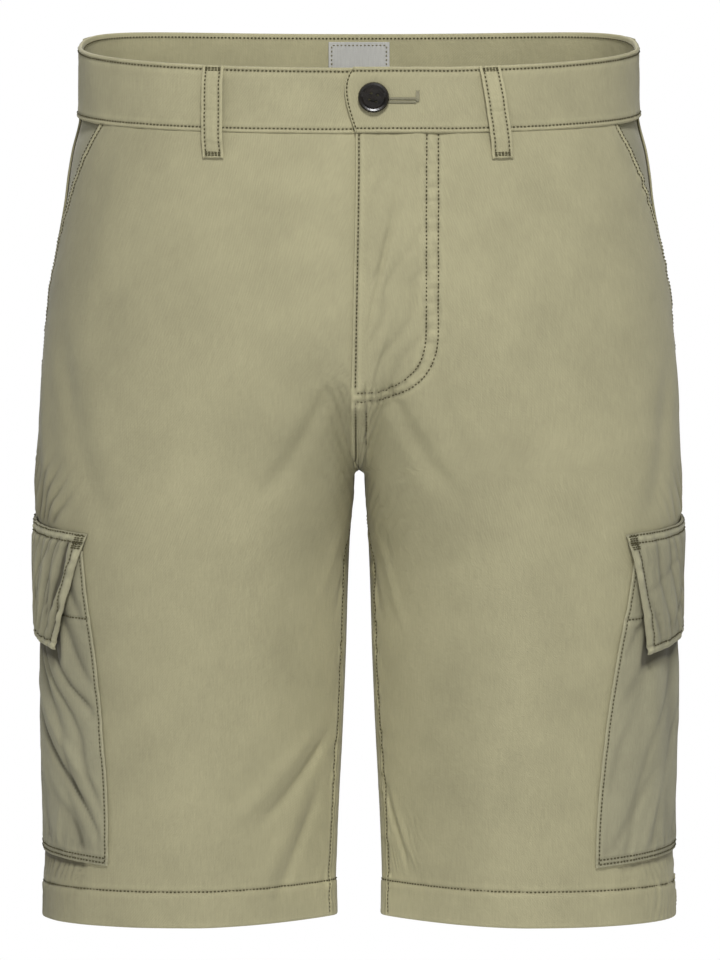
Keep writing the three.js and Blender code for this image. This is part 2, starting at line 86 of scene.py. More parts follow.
# Folds of the panels, one a row: side 1 is the left leg, -1 the right and 0 both.
# z, half, wide and high are in millimetres. half is half its length, and lean is how far it tilts.
# high is a ridge above 0 and a trough below it.
FOLD_NAMES = ("side", "around", "z", "half", "lean", "wide", "high")
LARGE_FOLDS = [
    [-1, 0.215, -330, 120, -0.1, 16, -2],
    [-1, 0.29, -300, 140, 0.05, 18, 1.8],
    [-1, 0.125, -428, 24, 1, 5, -2.4],
    [-1, 0.155, -425, 28, 1, 8, 2],
    [-1, 0.12, -470, 30, 0.5, 4.5, -2],
    [-1, 0.143, -465, 32, 0.5, 7, 1.7],
    [-1, 0.37, -215, 60, -0.35, 9, -2.2],
    [-1, 0.42, -225, 48, -0.3, 8, 2],
    [1, 0.078, -458, 26, 0.62, 4.6, -1.3],
    [1, 0.092, -462, 20, 0.5, 5, 1],
    [1, 0.2, -420, 70, -0.1, 14, 1.6],
    [1, 0.24, -300, 150, 0.08, 20, 1.8],
    [1, 0.3, -370, 110, -0.06, 16, -1.8],
    [1, 0.4, -225, 45, -0.3, 9, -2],
    [1, 0.14, -170, 55, 0.45, 8, -1.6],
    [0, 0.13, -222, 30, 0.9, 8, -2],
    [0, 0.62, -235, 70, -0.5, 14, -3.2],
    [0, 0.7, -262, 80, -0.6, 14, 3],
    [0, 0.85, -262, 55, -0.8, 11, -3.4],
    [0, 0.9, -300, 70, -0.5, 12, 3],
    [0, 0.74, -390, 120, 0.06, 18, 2.2],
    [0, 0.66, -420, 90, -0.08, 14, -2],
]
FINE_FOLDS = [
    [-1, 0.05, -300, 30, 0.5, 5, -0.9],
    [-1, 0.08, -285, 34, 0.55, 5, 0.8],
    [-1, 0.035, -395, 26, 0.6, 4, -0.9],
    [-1, 0.33, -120, 60, 0.15, 7, -0.6],
    [-1, 0.36, -100, 70, 0.1, 6, 0.5],
    [1, 0.05, -300, 30, 0.5, 5, -0.9],
    [1, 0.09, -300, 34, 0.45, 5, 0.8],
    [1, 0.34, -120, 60, 0.1, 7, -0.6],
    [1, 0.08, -95, 40, -0.5, 4, -0.8],
    [1, 0.05, -130, 34, -0.6, 3.6, -0.7],
    [1, 0.06, -165, 26, -0.7, 3.4, 0.6],
    [0, 0.58, -130, 60, 0.2, 7, -0.8],
    [0, 0.8, -90, 50, 0.3, 7, 0.7],
    [0, 0.93, -220, 34, -0.9, 5, -1.1],
    [0, 0.95, -330, 40, -0.5, 5, -1],
    [0, 0.9, -440, 42, 0.3, 6, 1.1],
]

WAISTBAND = SimpleNamespace(
    side_top=20.5, front_drop=20.2, back_rise=13.8, side_bottom=-22.5, bottom_slope=16.7,
    proud=0.9, thick=2.6, top_round=2.2, long=470.0, tall=42.0, edge=1.3,
)
TAB = SimpleNamespace(
    end=-2.0, belly=6.6, lean=1.6, round=0.6, flat_to=34.0, ramp_to=56.0, underlap=32.0,
    gap=0.3, rise=(-66.0, -42.0),
)
FLY = SimpleNamespace(
    lap=2.0, narrows=(-200.0, -50.0), under=5.0, flat_to=8.0, ramp_to=26.0, lift=(-203.0, -191.0),
    edge=(-187.0, -173.0), low_lap=4.2, low_rise=1.9, clear=0.05, low=(-240.5, -237.0),
)
SLANT = SimpleNamespace(
    top=61.0, length=160.0, power=1.5, facing_overlap=14.0, facing_gap=0.75, facing_tuck=0.009,
)
SLANT_LOW = WAISTBAND.side_bottom - SLANT.length
PANEL = SimpleNamespace(front_wide=250.0, back_wide=270.0, edge=0.9, hem_edge=1.6)
CARGO = SimpleNamespace(top=-281.0, bottom=-472.5, back_top=82.0, back_bottom=82.0, slope=0.07, puff=1.9)
FLAP = SimpleNamespace(
    top=-268.5, top_slope=0.09, bottom=-336.3, back=86.0, back_taper=3.0, bottom_slope=0.18, thick=1.8,
    under_top=0.3, under_low=4.3, under_curve=3.0,
)
CARGO_FRONT = {
    1: SimpleNamespace(pocket_top=91.0, pocket_bottom=93.0, flap_top=98.5, flap_tip=74.0),
    -1: SimpleNamespace(pocket_top=90.0, pocket_bottom=83.0, flap_top=95.0, flap_tip=61.0),
}
LOOP = SimpleNamespace(wide=12.5, tall=58.0, thick=1.8, below=16.0, bow=2.4, seat=0.45, edge=0.9)
# Each loop's side, where it is sewn, and how far its top and bottom are from the centre or the side seam
LOOPS = [
    ("belt_loop_front_left", 1, "front", 77, 85),
    ("belt_loop_front_right", -1, "front", 86, 86),
    ("belt_loop_side_left", 1, "side", 30, 30),
    ("belt_loop_side_right", -1, "side", 30, 30),
    ("belt_loop_back_left", 1, "back", 21, 21),
    ("belt_loop_back_right", -1, "back", 21, 21),
]
BUTTON = SimpleNamespace(x=8.5, z=-18.6, thick=3.2, hole_offset=2.0, off=0.5, dish=1.0)
BUTTONHOLE = SimpleNamespace(start=17.5, end=33.5, z=-20.0, half=2.0, slit=0.15, step=0.68, proud=0.25)
BUTTONHOLE_BAR = SimpleNamespace(wide=1.6, step=0.5, below=1.5, above=6.5)
LABEL = SimpleNamespace(wide=39.0, tall=30.0, below=5.0, thick=0.8, inset=2.0, gap=0.3)
SEAM_GAP = 0.03  # between neighbours here; their edges are rounded, so the seam still reads as a groove
SIDE_WORDS = {1: "left", -1: "right"}


def clamp(x, low, high):
    return np.minimum(high, np.maximum(low, x))


def mix(a, b, t):
    return a + (b - a) * t


def ease(low, high, x):
    t = clamp((x - low) / (high - low), 0.0, 1.0)
    return t * t * (3 - 2 * t)


def bell(x):
    return np.exp(-(x**2))


def section(z):
    """The sizes of the worn form at each height, smoothly between the rows of the table."""
    z = np.asarray(z, float)
    last = len(SECTIONS) - 1
    i = np.clip(np.searchsorted(-SECTIONS[:, 0], -z, side="left"), 1, last)
    high, low = SECTIONS[i - 1], SECTIONS[i]
    above, below = SECTIONS[np.maximum(i - 2, 0)], SECTIONS[np.minimum(i + 1, last)]
    span = (low[..., 0] - high[..., 0])[..., None]
    t = (z[..., None] - high[..., :1]) / span
    slope_high = (low - above) / (low[..., :1] - above[..., :1]) * span
    slope_low = (below - high) / (below[..., :1] - high[..., :1]) * span
    rise = low - high
    row = (
        high
        + slope_high * t
        + (3 * rise - 2 * slope_high - slope_low) * t**2
        + (slope_high + slope_low - 2 * rise) * t**3
    )
    s = SimpleNamespace(**{name: row[..., k] for k, name in enumerate(SECTION_NAMES)})
    parted = np.sqrt(clamp((CROTCH_Z - z) / CROTCH_GAP.depth, 0.0, 1.0))
    s.seam_inner = mix(CROTCH_GAP.half, s.inner, parted)
    s.inner = mix(CROTCH_GAP.half, s.inner, ease(0.0, CROTCH_GAP.beside_depth, CROTCH_Z - z))
    return s


def leg_ring(s, around):
    turn = 2 * math.pi * around
    c, n = np.cos(turn), np.sin(turn)
    reach = (np.abs(c) ** s.square + np.abs(n) ** s.square) ** (-1 / s.square)
    depth = np.where(n > 0, s.front + s.side_y, s.back - s.side_y)
    inward = np.minimum(np.abs(around), np.abs(1 - around))
    inner = mix(s.seam_inner, s.inner, ease(0.0, CROTCH_GAP.within, inward))
    middle = (s.wide + inner) / 2
    narrow = 1 - s.pinch * np.where(n > 0, 1.0, BACK_PINCH) * np.maximum(c * reach, 0.0) ** 2
    return middle - (s.wide - inner) / 2 * c * reach, s.side_y - depth * narrow * n * reach


def hip_share(s):
    return 0.5 * math.pi * (s.wide - s.inner) / (s.wide + s.inner)


def hip_ring(s, around):
    half = np.where(around <= 0.5, around, 1 - around)
    size = np.abs(half)
    bend = hip_share(s)
    share = size * 4
    near = (s.wide + s.inner) / 2 * ((2 - bend) * share + (bend - 1) * share**2)
    x = np.where(size < 0.25, near, leg_ring(s, size)[0])
    curve = (1 - clamp(x / s.wide, 0.0, 1.0) ** s.square) ** (1 / s.square)
    depth = np.where(around <= 0.5, -(s.front + s.side_y), s.back - s.side_y)
    return np.where(half < 0, -x, x), s.side_y + depth * curve


def around_at_x(x, z):
    s = section(z)
    bend = hip_share(s)
    target = np.abs(x) / ((s.wide + s.inner) / 2)
    root = np.sqrt((2 - bend) ** 2 + 4 * (bend - 1) * target)
    return np.sign(x) * (root - (2 - bend)) / (2 * (bend - 1)) / 4


def arch(up):
    return np.sqrt(1 - (1 - clamp(up, 0.0, 1.0)) ** 2)


def arch_area(up):
    u = clamp(up, 0.0, 1.0)
    return ((u - 1) * arch(u) + np.arcsin(u - 1) + math.pi / 2) / 2 + np.maximum(up - 1, 0.0)


def joined(around, z):
    """How far the two legs have become one ring: a sharp arch at the seam and a soft one beside it."""
    front = around <= 0.5
    up = (z - CROTCH_Z) / np.where(front, FRONT_CURVE, BACK_CURVE)
    inward = np.abs(np.where(front, around, 1 - around))
    soft = CROTCH_SOFT.most * ease(0.0, CROTCH_SOFT.within, inward)
    blur = np.maximum(soft, 0.001)
    rise = np.where(soft > 0.001, (arch_area(up + blur) - arch_area(up - blur)) / (2 * blur), arch(up))
    return mix(rise, ease(*THIGH_BLEND, z), ease(0.0, CROTCH_SOFT.blend, inward))


def body_point(around, z):
    """Below 0 a place lies on the other leg's form, and above 1 on this leg's front past the inseam."""
    around, z = np.broadcast_arrays(np.asarray(around, float), np.asarray(z, float))
    lapped = around < 0
    around = np.where((around > 1) & (z < CROTCH_Z), around - 1, np.abs(around))
    s = section(z)
    share = joined(around, z)
    hip, leg = hip_ring(s, around), leg_ring(s, around)
    x = mix(leg[0], hip[0], share)
    return np.stack([np.where(lapped, -x, x), mix(leg[1], hip[1], share), z], axis=-1)


def body_normal(around, z):
    small, step = 0.004, 1.0
    low = np.where((around < 0) | (around > small), around - small, around)
    high = np.where((around > 1 - small) & (around <= 1), around, around + small)
    round_it = body_point(high, z) - body_point(low, z)
    up = body_point(around, z + step) - body_point(around, z - step)
    normal = np.cross(round_it, up)
    normal /= np.linalg.norm(normal, axis=-1, keepdims=True)
    inward = np.abs(np.where(around <= 0.5, around, 1 - around))
    turned = (normal[..., 0] > 0) | (around < 0)
    square = np.where(turned, ease(0.0, CROTCH_SOFT.square, inward), 1.0)
    normal[..., 0] *= square
    return normal / np.linalg.norm(normal, axis=-1, keepdims=True)


def around_width(around, z):
    """How many millimetres one unit of around is, here."""
    small = 0.002
    low = np.where((around > small) & (around < 1), around - small, around)
    low = np.where(around >= 1 - small, around - small, low)
    high = np.where(around >= 1 - small, around, around + small)
    return np.linalg.norm(body_point(high, z) - body_point(low, z), axis=-1) / (high - low)


def wrapped(around):
    """The same place, kept just inside one turn."""
    return clamp(np.where(around > 1, around - 1, around), 0.001, 0.999)


# Millimetres from the side seam, along the cloth: positive to the front and negative to the back.
ARC_Z = np.linspace(-520.0, 36.0, 279)
ARC_LONGEST = 250.0
ARCS = np.linspace(-ARC_LONGEST, ARC_LONGEST, 1001)


def arc_table():
    steps = np.arange(0.0, 0.4961, 0.004)
    rows = []
    for sign in (1, -1):
        around = 0.5 - sign * steps
        points = body_point(around[None, :], ARC_Z[:, None])
        lengths = np.linalg.norm(np.diff(points, axis=1), axis=-1)
        rows.append((around, np.concatenate([np.zeros((len(ARC_Z), 1)), np.cumsum(lengths, axis=1)], axis=1)))
    table = np.zeros((len(ARC_Z), len(ARCS)))
    for k in range(len(ARC_Z)):
        front = np.interp(np.maximum(ARCS, 0), rows[0][1][k], rows[0][0])
        back = np.interp(np.maximum(-ARCS, 0), rows[1][1][k], rows[1][0])
        table[k] = np.where(ARCS >= 0, front, back)
    return table


ARC_AROUND = arc_table()


def around_at_arc(arc, z):
    arc, z = np.broadcast_arrays(np.asarray(arc, float), np.asarray(z, float))
    row = clamp((z - ARC_Z[0]) / (ARC_Z[1] - ARC_Z[0]), 0, len(ARC_Z) - 1.001)
    column = clamp((arc - ARCS[0]) / (ARCS[1] - ARCS[0]), 0, len(ARCS) - 1.001)
    i, j = row.astype(int), column.astype(int)
    u, v = row - i, column - j
    low = mix(ARC_AROUND[i, j], ARC_AROUND[i, j + 1], v)
    high = mix(ARC_AROUND[i + 1, j], ARC_AROUND[i + 1, j + 1], v)
    return mix(low, high, u)


def lattice(i, j, seed):
    n = (i * 374761393 + j * 668265263 + seed * 1442695041) & 0xFFFFFFFF
    n = ((n ^ (n >> 13)) * 1274126177) & 0xFFFFFFFF
    return ((n ^ (n >> 16)) & 0xFFFF) / 32767.5 - 1.0


def noise(u, v, seed):
    """Smooth noise from -1 to 1, the same each run."""
    i, j = np.floor(u).astype(np.int64), np.floor(v).astype(np.int64)
    s, t = u - i, v - j
    s, t = s * s * s * (s * (s * 6 - 15) + 10), t * t * t * (t * (t * 6 - 15) + 10)
    low = mix(lattice(i, j, seed), lattice(i + 1, j, seed), s)
    high = mix(lattice(i, j + 1, seed), lattice(i + 1, j + 1, seed), s)
    return mix(low, high, t)


def fold_height(side, around, z):
    total = np.zeros(np.broadcast(around, z).shape)
    for row in LARGE_FOLDS + FINE_FOLDS:
        fold = dict(zip(FOLD_NAMES, row))
        if fold["side"] and fold["side"] != side:
            continue
        down = fold["z"] - z
        across = (around - fold["around"]) * AROUND_MM - fold["lean"] * down
        total += fold["high"] * np.exp(-((across / fold["wide"]) ** 2) - (down / fold["half"]) ** 4)
    return total


def cloth_noise(side, around, z):
    seed = 11 if side > 0 else 23
    u = around * AROUND_MM
    calm = ease(-6.0, -60.0, z)  # calmer at the waistband
    broad = 0.55 * noise(u / 46, z / 62, seed) + 0.3 * noise(u / 21 + z / 60, z / 27, seed + 1)
    return broad * mix(0.25, 1.0, calm) + 0.07 * noise(u / 8, z / 9, seed + 2)


def centre_calm(around):
    """No free folds right at the centre and the inseam, so the panels that meet there lie on one form."""
    inward = np.abs(np.where(around <= 0.5, around, 1 - around))
    return ease(*CENTRE_CALM, inward)


class Patch:
    """Places on the cloth with their points and normals, before any lift."""

    def __init__(self, side, around, z):
        self.side = side
        self.around, self.z = np.broadcast_arrays(np.asarray(around, float), np.asarray(z, float))
        self.point = body_point(self.around, self.z)
        self.normal = body_normal(self.around, self.z)
        free = cloth_noise(side, self.around, self.z) + fold_height(side, self.around, self.z)
        self.relief = free * centre_calm(self.around)

    def lifted(self, lift):
        point = self.point + self.normal * (self.relief + lift)[..., None]
        return point * np.array([self.side, 1, 1])

    def outward(self):
        return self.normal * np.array([self.side, 1, 1])


def marks(length, step, start=(0.0,), end=(0.0,)):
    """Distances from 0 to length, about step apart, with the given extra ones near each end."""
    count = max(2, round((length - start[-1] - end[-1]) / step))
    middle = np.linspace(start[-1], length - end[-1], count + 1)
    return np.unique(np.concatenate([start, middle, length - np.array(end)]).round(5))


EDGE = (0.0, 0.12, 0.35, 0.8, 1.5)


def rounded(distance, radius):
    """The share of a wall's thickness at a distance from its rounded edge."""
    inward = clamp(distance / radius, 0.0, 1.0)
    return np.sqrt(np.maximum(1 - (1 - inward) ** 2, 0.02))


def add_object(name, data):
    obj = bpy.data.objects.new(name, data)
    bpy.context.scene.collection.objects.link(obj)
    return obj


INNER_WEAR_AND_SHADING_SHARE = 0.3


def build_shell(name, outer, inner, uv, wear_and_shading, material, side=1, inner_painted_light=0.0):
    """A closed wall from two grids of points. side says which way round the grid runs."""
    rows, columns = outer.shape[:2]
    layer = rows * columns
    points = np.concatenate([outer.reshape(-1, 3), inner.reshape(-1, 3)]) * MM
    index = np.arange(layer).reshape(rows, columns)
    quads = np.stack([index[:-1, :-1], index[:-1, 1:], index[1:, 1:], index[1:, :-1]], axis=-1).reshape(-1, 4)
    rims = []
    for line, turn in ((index[0], 1), (index[-1], -1), (index[:, 0], -1), (index[:, -1], 1)):
        rim = np.stack([line[:-1] + layer, line[1:] + layer, line[1:], line[:-1]], axis=-1)
        rims.append(rim[:, :: turn])
    faces = np.concatenate([quads, quads[:, ::-1] + layer, *rims])
    if side < 0:
        faces = faces[:, ::-1]
    mesh = bpy.data.meshes.new(name)
    mesh.vertices.add(len(points))
    mesh.vertices.foreach_set("co", points.astype(np.float32).ravel())
    mesh.loops.add(len(faces) * 4)
    mesh.loops.foreach_set("vertex_index", faces.astype(np.int32).ravel())
    mesh.polygons.add(len(faces))
    mesh.polygons.foreach_set("loop_start", np.arange(0, len(faces) * 4, 4, dtype=np.int32))
    mesh.polygons.foreach_set("use_smooth", np.ones(len(faces), bool))
    layer_uv = mesh.uv_layers.new(name="weave")
    both = np.concatenate([uv.reshape(-1, 2), uv.reshape(-1, 2)])
    layer_uv.data.foreach_set("uv", both[faces.ravel()].astype(np.float32).ravel())
    # Inner faces take a share of the outer face's worn paleness and painted shade, plus any painted light given
    # for them.
    both_wear_and_shading = np.concatenate([wear_and_shading.ravel(), wear_and_shading.ravel() * INNER_WEAR_AND_SHADING_SHARE + inner_painted_light])
    mesh.attributes.new("wear_and_shading", "FLOAT", "POINT").data.foreach_set("value", both_wear_and_shading.astype(np.float32))
    mesh.update()
    mesh.validate()
    obj = add_object(name, mesh)
    obj.data.materials.append(material)
    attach(obj, "root")
    return obj


def arc_lengths(points):
    """UV in centimetres of cloth: how far along each row and column the points are."""
    across = np.linalg.norm(np.diff(points, axis=1), axis=-1)
    up = np.linalg.norm(np.diff(points, axis=0), axis=-1)
    u = np.concatenate([np.zeros((points.shape[0], 1)), np.cumsum(across, axis=1)], axis=1)
    u -= u[:, [u.shape[1] // 2]]
    v = np.concatenate([np.zeros((1, points.shape[1])), np.cumsum(up, axis=0)], axis=0)
    return np.stack([u, v], axis=-1) / 10.0


def line_distance(line, around, z, width):
    """Distance from each place to a sewn line, and how far along the line the nearest point is."""
    best = np.full(around.shape, 1e9)
    along = np.zeros(around.shape)
    done = 0.0
    for (a0, z0), (a1, z1) in zip(line[:-1], line[1:]):
        sx, sz = (a1 - a0) * width, z1 - z0
        wx, wz = (around - a0) * width, z - z0
        size = sx**2 + sz**2 + 1e-12
        t = clamp((wx * sx + wz * sz) / size, 0.0, 1.0)
        d = np.hypot(wx - t * sx, wz - t * sz)
        near = d < best
        best = np.where(near, d, best)
        along = np.where(near, done + t * np.sqrt(size), along)
        done += float(np.sqrt(np.median(size)))
    return best, along


GROOVE = SimpleNamespace(deep=0.55, wide=0.9)
PUCKER = SimpleNamespace(
    swell=0.55, crease=0.75, apart=5.2, long=15.0, sharp=0.2, reach=7.0, wander=1.6, uneven=(0.75, 0.5),
)


def creases(along, distance, seed):
    """Swells and narrow creases that run across a seam."""
    wander = along + PUCKER.wander * noise(along / 13, distance / 6, seed + 50)
    wave = noise(wander / PUCKER.apart, distance / PUCKER.long, seed)
    strength = PUCKER.uneven[0] + PUCKER.uneven[1] * noise(along / 31, distance / 40, seed + 51)
    return strength * (PUCKER.swell * wave - PUCKER.crease * bell(wave / PUCKER.sharp))


WRINKLE = SimpleNamespace(apart=1.3, wander=0.6, sharp=0.4, ridge=0.6, small=0.25, deep=0.6)


def wrinkles(across, down, size, seed, swell, crease):
    """Uneven ridges with narrow creases between them, as washed cloth keeps, and the painted shade in the
    creases.

    Every noise here is a share of size, the width and length of one ridge.
    """
    wide, long = size
    wander = across + WRINKLE.wander * wide * noise(across / (2.3 * wide), down / (0.5 * long), seed + 2)
    between = np.sin(math.pi * wander / (WRINKLE.apart * wide))
    strength = ease(-0.7, 0.5, noise(across / (2.6 * wide), down / (0.8 * long), seed + 3))
    small = noise(wander / (0.45 * wide), down / (0.5 * long), seed + 1)
    line = strength * bell(between / WRINKLE.sharp)
    ridge = strength * (np.abs(between) - WRINKLE.ridge) + WRINKLE.small * small
    return swell * ridge - WRINKLE.deep * crease * line, -line


SEAM_WEAR_AND_SHADE = SimpleNamespace(pale=0.5, pale_at=2.2, pale_wide=1.5, dark=1.3, dark_wide=0.8)


def sewn_relief(distance, along, seed, pucker=1.0):
    """The groove that a row of stitches pulls into the cloth, and the small puckers beside it."""
    groove = -GROOVE.deep * bell(distance / GROOVE.wide)
    return groove + pucker * creases(along, distance, seed) * bell(distance / PUCKER.reach)


def sewn_wear_and_shade(distance):
    """Paler worn ridge beside a seam, and painted shade in its groove."""
    pale = SEAM_WEAR_AND_SHADE.pale * bell((distance - SEAM_WEAR_AND_SHADE.pale_at) / SEAM_WEAR_AND_SHADE.pale_wide)
    return pale - SEAM_WEAR_AND_SHADE.dark * bell(distance / SEAM_WEAR_AND_SHADE.dark_wide)


def edge_roll(distance, high, width):
    """The rounded strip of doubled cloth between an edge and its row of stitches."""
    return high * bell((distance - width / 2) / (width * 0.42))


# Stitches
STITCH = SimpleNamespace(
    long=1.45, pitch=2.4, thick=0.8, sides=4, proud=0.3, uneven=0.048,
    sunk=-0.35, risen=0.55, wide=1.1, flat=0.8,
)
stitch_runs = {}


def sew(group, points, normals, long=None, pitch=None, thick=None):
    """Lays stitches along a run of points on the cloth. They're gathered by group and built at the end."""
    long, pitch, thick = long or STITCH.long, pitch or STITCH.pitch, thick or STITCH.thick
    steps = np.linalg.norm(np.diff(points, axis=0), axis=-1)
    length = np.concatenate([[0.0], np.cumsum(steps)])
    count = int(length[-1] / pitch)
    if count < 1:
        return
    starts = (np.arange(count) + 0.5) * length[-1] / count
    starts = starts + rng.uniform(-1.0, 1.0, count) * pitch * STITCH.uneven
    ends = [starts - long / 2, starts, starts + long / 2]
    at = [np.stack([np.interp(e, length, points[:, k]) for k in range(3)], axis=-1) for e in ends]
    normal = np.stack([np.interp(starts, length, normals[:, k]) for k in range(3)], axis=-1)
    normal /= np.linalg.norm(normal, axis=-1, keepdims=True)
    stitch_runs.setdefault(group, []).append((at, normal, thick))


def build_stitches(group, material):
    """Each stitch is a short thread, sunk at both ends and standing a little proud between them."""
    sides = STITCH.sides
    vertices, faces, base = [], [], 0
    turn = 2 * math.pi * np.arange(sides) / sides
    for at, normal, thick in stitch_runs[group]:
        first, middle, last = at
        tangent = last - first
        tangent /= np.linalg.norm(tangent, axis=-1, keepdims=True) + 1e-9
        across = np.cross(normal, tangent)
        r = thick / 2
        centre_line = [first, mix(first, middle, 0.3), mix(middle, last, 0.7), last]
        rises = [STITCH.sunk * r, STITCH.risen * r, STITCH.risen * r, STITCH.sunk * r]
        sizes = [0.0, 1.0, 1.0, 0.0]
        ring_points = []
        for centre, rise, size in zip(centre_line, rises, sizes):
            centre = centre + normal * rise
            if size == 0.0:
                ring_points.append(centre[:, None, :])
                continue
            ring = (
                centre[:, None, :]
                + across[:, None, :] * (np.cos(turn) * r * STITCH.wide)[None, :, None]
                + normal[:, None, :] * (np.sin(turn) * r * STITCH.flat)[None, :, None]
            )
            ring_points.append(ring)
        block = np.concatenate(ring_points, axis=1)
        per = block.shape[1]
        vertices.append(block.reshape(-1, 3))
        pattern = []
        for k in range(sides):
            near, next_near = 1 + k, 1 + (k + 1) % sides
            far, next_far = near + sides, next_near + sides
            pattern += [(0, next_near, near), (near, next_near, next_far)]
            pattern += [(near, next_far, far), (far, next_far, per - 1)]
        offsets = base + per * np.arange(len(block))
        faces.append((offsets[:, None, None] + np.array(pattern)[None]).reshape(-1, 3))
        base += per * len(block)
    points, triangles = np.concatenate(vertices) * MM, np.concatenate(faces)
    mesh = bpy.data.meshes.new(group)
    mesh.from_pydata(points.tolist(), [], triangles.tolist())
    mesh.polygons.foreach_set("use_smooth", np.ones(len(triangles), bool))
    mesh.update()
    obj = add_object(group, mesh)
    obj.data.materials.append(material)
    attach(obj, "root")
    return obj


# Materials
def node_material(name):
    material = bpy.data.materials.new(name)
    material.use_nodes = True
    nodes, links = material.node_tree.nodes, material.node_tree.links
    return material, nodes, links, nodes["Principled BSDF"]


def ramp(nodes, low, high, low_at=0.3, high_at=0.7):
    node = nodes.new("ShaderNodeValToRGB")
    node.color_ramp.elements[0].position, node.color_ramp.elements[0].color = low_at, (*low, 1)
    node.color_ramp.elements[1].position, node.color_ramp.elements[1].color = high_at, (*high, 1)
    return node


def noise_node(nodes, links, coordinate, scale, detail=3.0, rough=0.6):
    node = nodes.new("ShaderNodeTexNoise")
    node.inputs["Scale"].default_value = scale
    node.inputs["Detail"].default_value = detail
    node.inputs["Roughness"].default_value = rough
    links.new(coordinate, node.inputs["Vector"])
    return node


def multiply_colour(nodes, links, first, second, amount=1.0):
    node = nodes.new("ShaderNodeMix")
    node.data_type, node.blend_type = "RGBA", "MULTIPLY"
    node.inputs["Factor"].default_value = amount
    links.new(first, node.inputs["A"])
    links.new(second, node.inputs["B"])
    return node.outputs["Result"]


def cloth_material(name, colour, strength=1.0, threads_per_cm=22.0):
    """Washed cotton twill: diagonal weave, uneven dye, paler worn ridges beside the seams, and painted light
    and shade carried in the same attribute.
    """
    material, nodes, links, shader = node_material(name)
    uv = nodes.new("ShaderNodeUVMap")
    uv.uv_map = "weave"
    place = nodes.new("ShaderNodeTexCoord").outputs["Object"]
    light = [min(1.0, c * 1.06) for c in colour]
    dark = [c * 0.93 for c in colour]
    patches = ramp(nodes, dark, light, 0.32, 0.68)
    links.new(noise_node(nodes, links, place, 26.0, 4.0, 0.62).outputs["Fac"], patches.inputs["Fac"])
    slub = nodes.new("ShaderNodeMapping")
    slub.inputs["Scale"].default_value = (14.0, 0.9, 1.0)
    links.new(uv.outputs["UV"], slub.inputs["Vector"])
    slub_ramp = ramp(nodes, (0.94, 0.94, 0.94), (1.05, 1.05, 1.04), 0.3, 0.7)
    threads = noise_node(nodes, links, slub.outputs["Vector"], 1.0, 2.0)
    links.new(threads.outputs["Fac"], slub_ramp.inputs["Fac"])
    base = multiply_colour(nodes, links, patches.outputs["Color"], slub_ramp.outputs["Color"])
    twill = nodes.new("ShaderNodeMapping")
    twill.inputs["Rotation"].default_value = (0, 0, math.radians(27))
    links.new(uv.outputs["UV"], twill.inputs["Vector"])
    wale = nodes.new("ShaderNodeTexWave")
    wale.wave_type, wale.bands_direction = "BANDS", "X"
    wale.inputs["Scale"].default_value = threads_per_cm / 3.14 / 2
    wale.inputs["Distortion"].default_value = 0.6
    wale.inputs["Detail"].default_value = 1.0
    links.new(twill.outputs["Vector"], wale.inputs["Vector"])
    wale_ramp = ramp(nodes, (0.94, 0.94, 0.93), (1.03, 1.03, 1.03), 0.2, 0.8)
    links.new(wale.outputs["Fac"], wale_ramp.inputs["Fac"])
    base = multiply_colour(nodes, links, base, wale_ramp.outputs["Color"])
    # The attribute multiplies the colour: below 0 it is painted shade in creases, grooves and under edges,
    # above 0 worn paleness and painted light.
    wear_and_shading = nodes.new("ShaderNodeAttribute")
    wear_and_shading.attribute_name = "wear_and_shading"
    wear_and_shading_ramp = ramp(nodes, (0.3, 0.29, 0.28), (1.41, 1.41, 1.38), 0.0, 1.0)
    wear_and_shading_ramp.color_ramp.elements.new(0.25).color = (0.77, 0.765, 0.76, 1)
    centred = nodes.new("ShaderNodeMath")
    centred.operation = "MULTIPLY_ADD"
    centred.inputs[1].default_value = 1 / 6
    centred.inputs[2].default_value = 0.5
    links.new(wear_and_shading.outputs["Fac"], centred.inputs[0])
    links.new(centred.outputs[0], wear_and_shading_ramp.inputs["Fac"])
    base = multiply_colour(nodes, links, base, wear_and_shading_ramp.outputs["Color"])
    links.new(base, shader.inputs["Base Color"])
    weave_bump = nodes.new("ShaderNodeBump")
    weave_bump.inputs["Strength"].default_value = 0.22 * strength
    weave_bump.inputs["Distance"].default_value = 0.0003
    links.new(wale.outputs["Fac"], weave_bump.inputs["Height"])
    crumple = nodes.new("ShaderNodeBump")
    crumple.inputs["Strength"].default_value = 0.3 * strength
    crumple.inputs["Distance"].default_value = 0.0012
    links.new(noise_node(nodes, links, place, 210.0, 3.0, 0.55).outputs["Fac"], crumple.inputs["Height"])
    links.new(weave_bump.outputs["Normal"], crumple.inputs["Normal"])
    links.new(crumple.outputs["Normal"], shader.inputs["Normal"])
    rough = nodes.new("ShaderNodeMapRange")
    rough.inputs["To Min"].default_value = 0.8
    rough.inputs["To Max"].default_value = 0.95
    links.new(wale.outputs["Fac"], rough.inputs["Value"])
    links.new(rough.outputs["Result"], shader.inputs["Roughness"])
    shader.inputs["Sheen Weight"].default_value = 0.12
    shader.inputs["Sheen Roughness"].default_value = 0.5
    shader.inputs["Specular IOR Level"].default_value = 0.25
    return material


def thread_material(name, colour):
    material, nodes, links, shader = node_material(name)
    place = nodes.new("ShaderNodeTexCoord").outputs["Object"]
    tone = ramp(nodes, [c * 0.85 for c in colour], [min(1, c * 1.1) for c in colour])
    links.new(noise_node(nodes, links, place, 900.0, 2.0).outputs["Fac"], tone.inputs["Fac"])
    links.new(tone.outputs["Color"], shader.inputs["Base Color"])
    twist = nodes.new("ShaderNodeBump")
    twist.inputs["Strength"].default_value = 0.4
    twist.inputs["Distance"].default_value = 0.0001
    links.new(noise_node(nodes, links, place, 4000.0, 1.0).outputs["Fac"], twist.inputs["Height"])
    links.new(twist.outputs["Normal"], shader.inputs["Normal"])
    shader.inputs["Roughness"].default_value = 0.7
    shader.inputs["Specular IOR Level"].default_value = 0.2
    return material


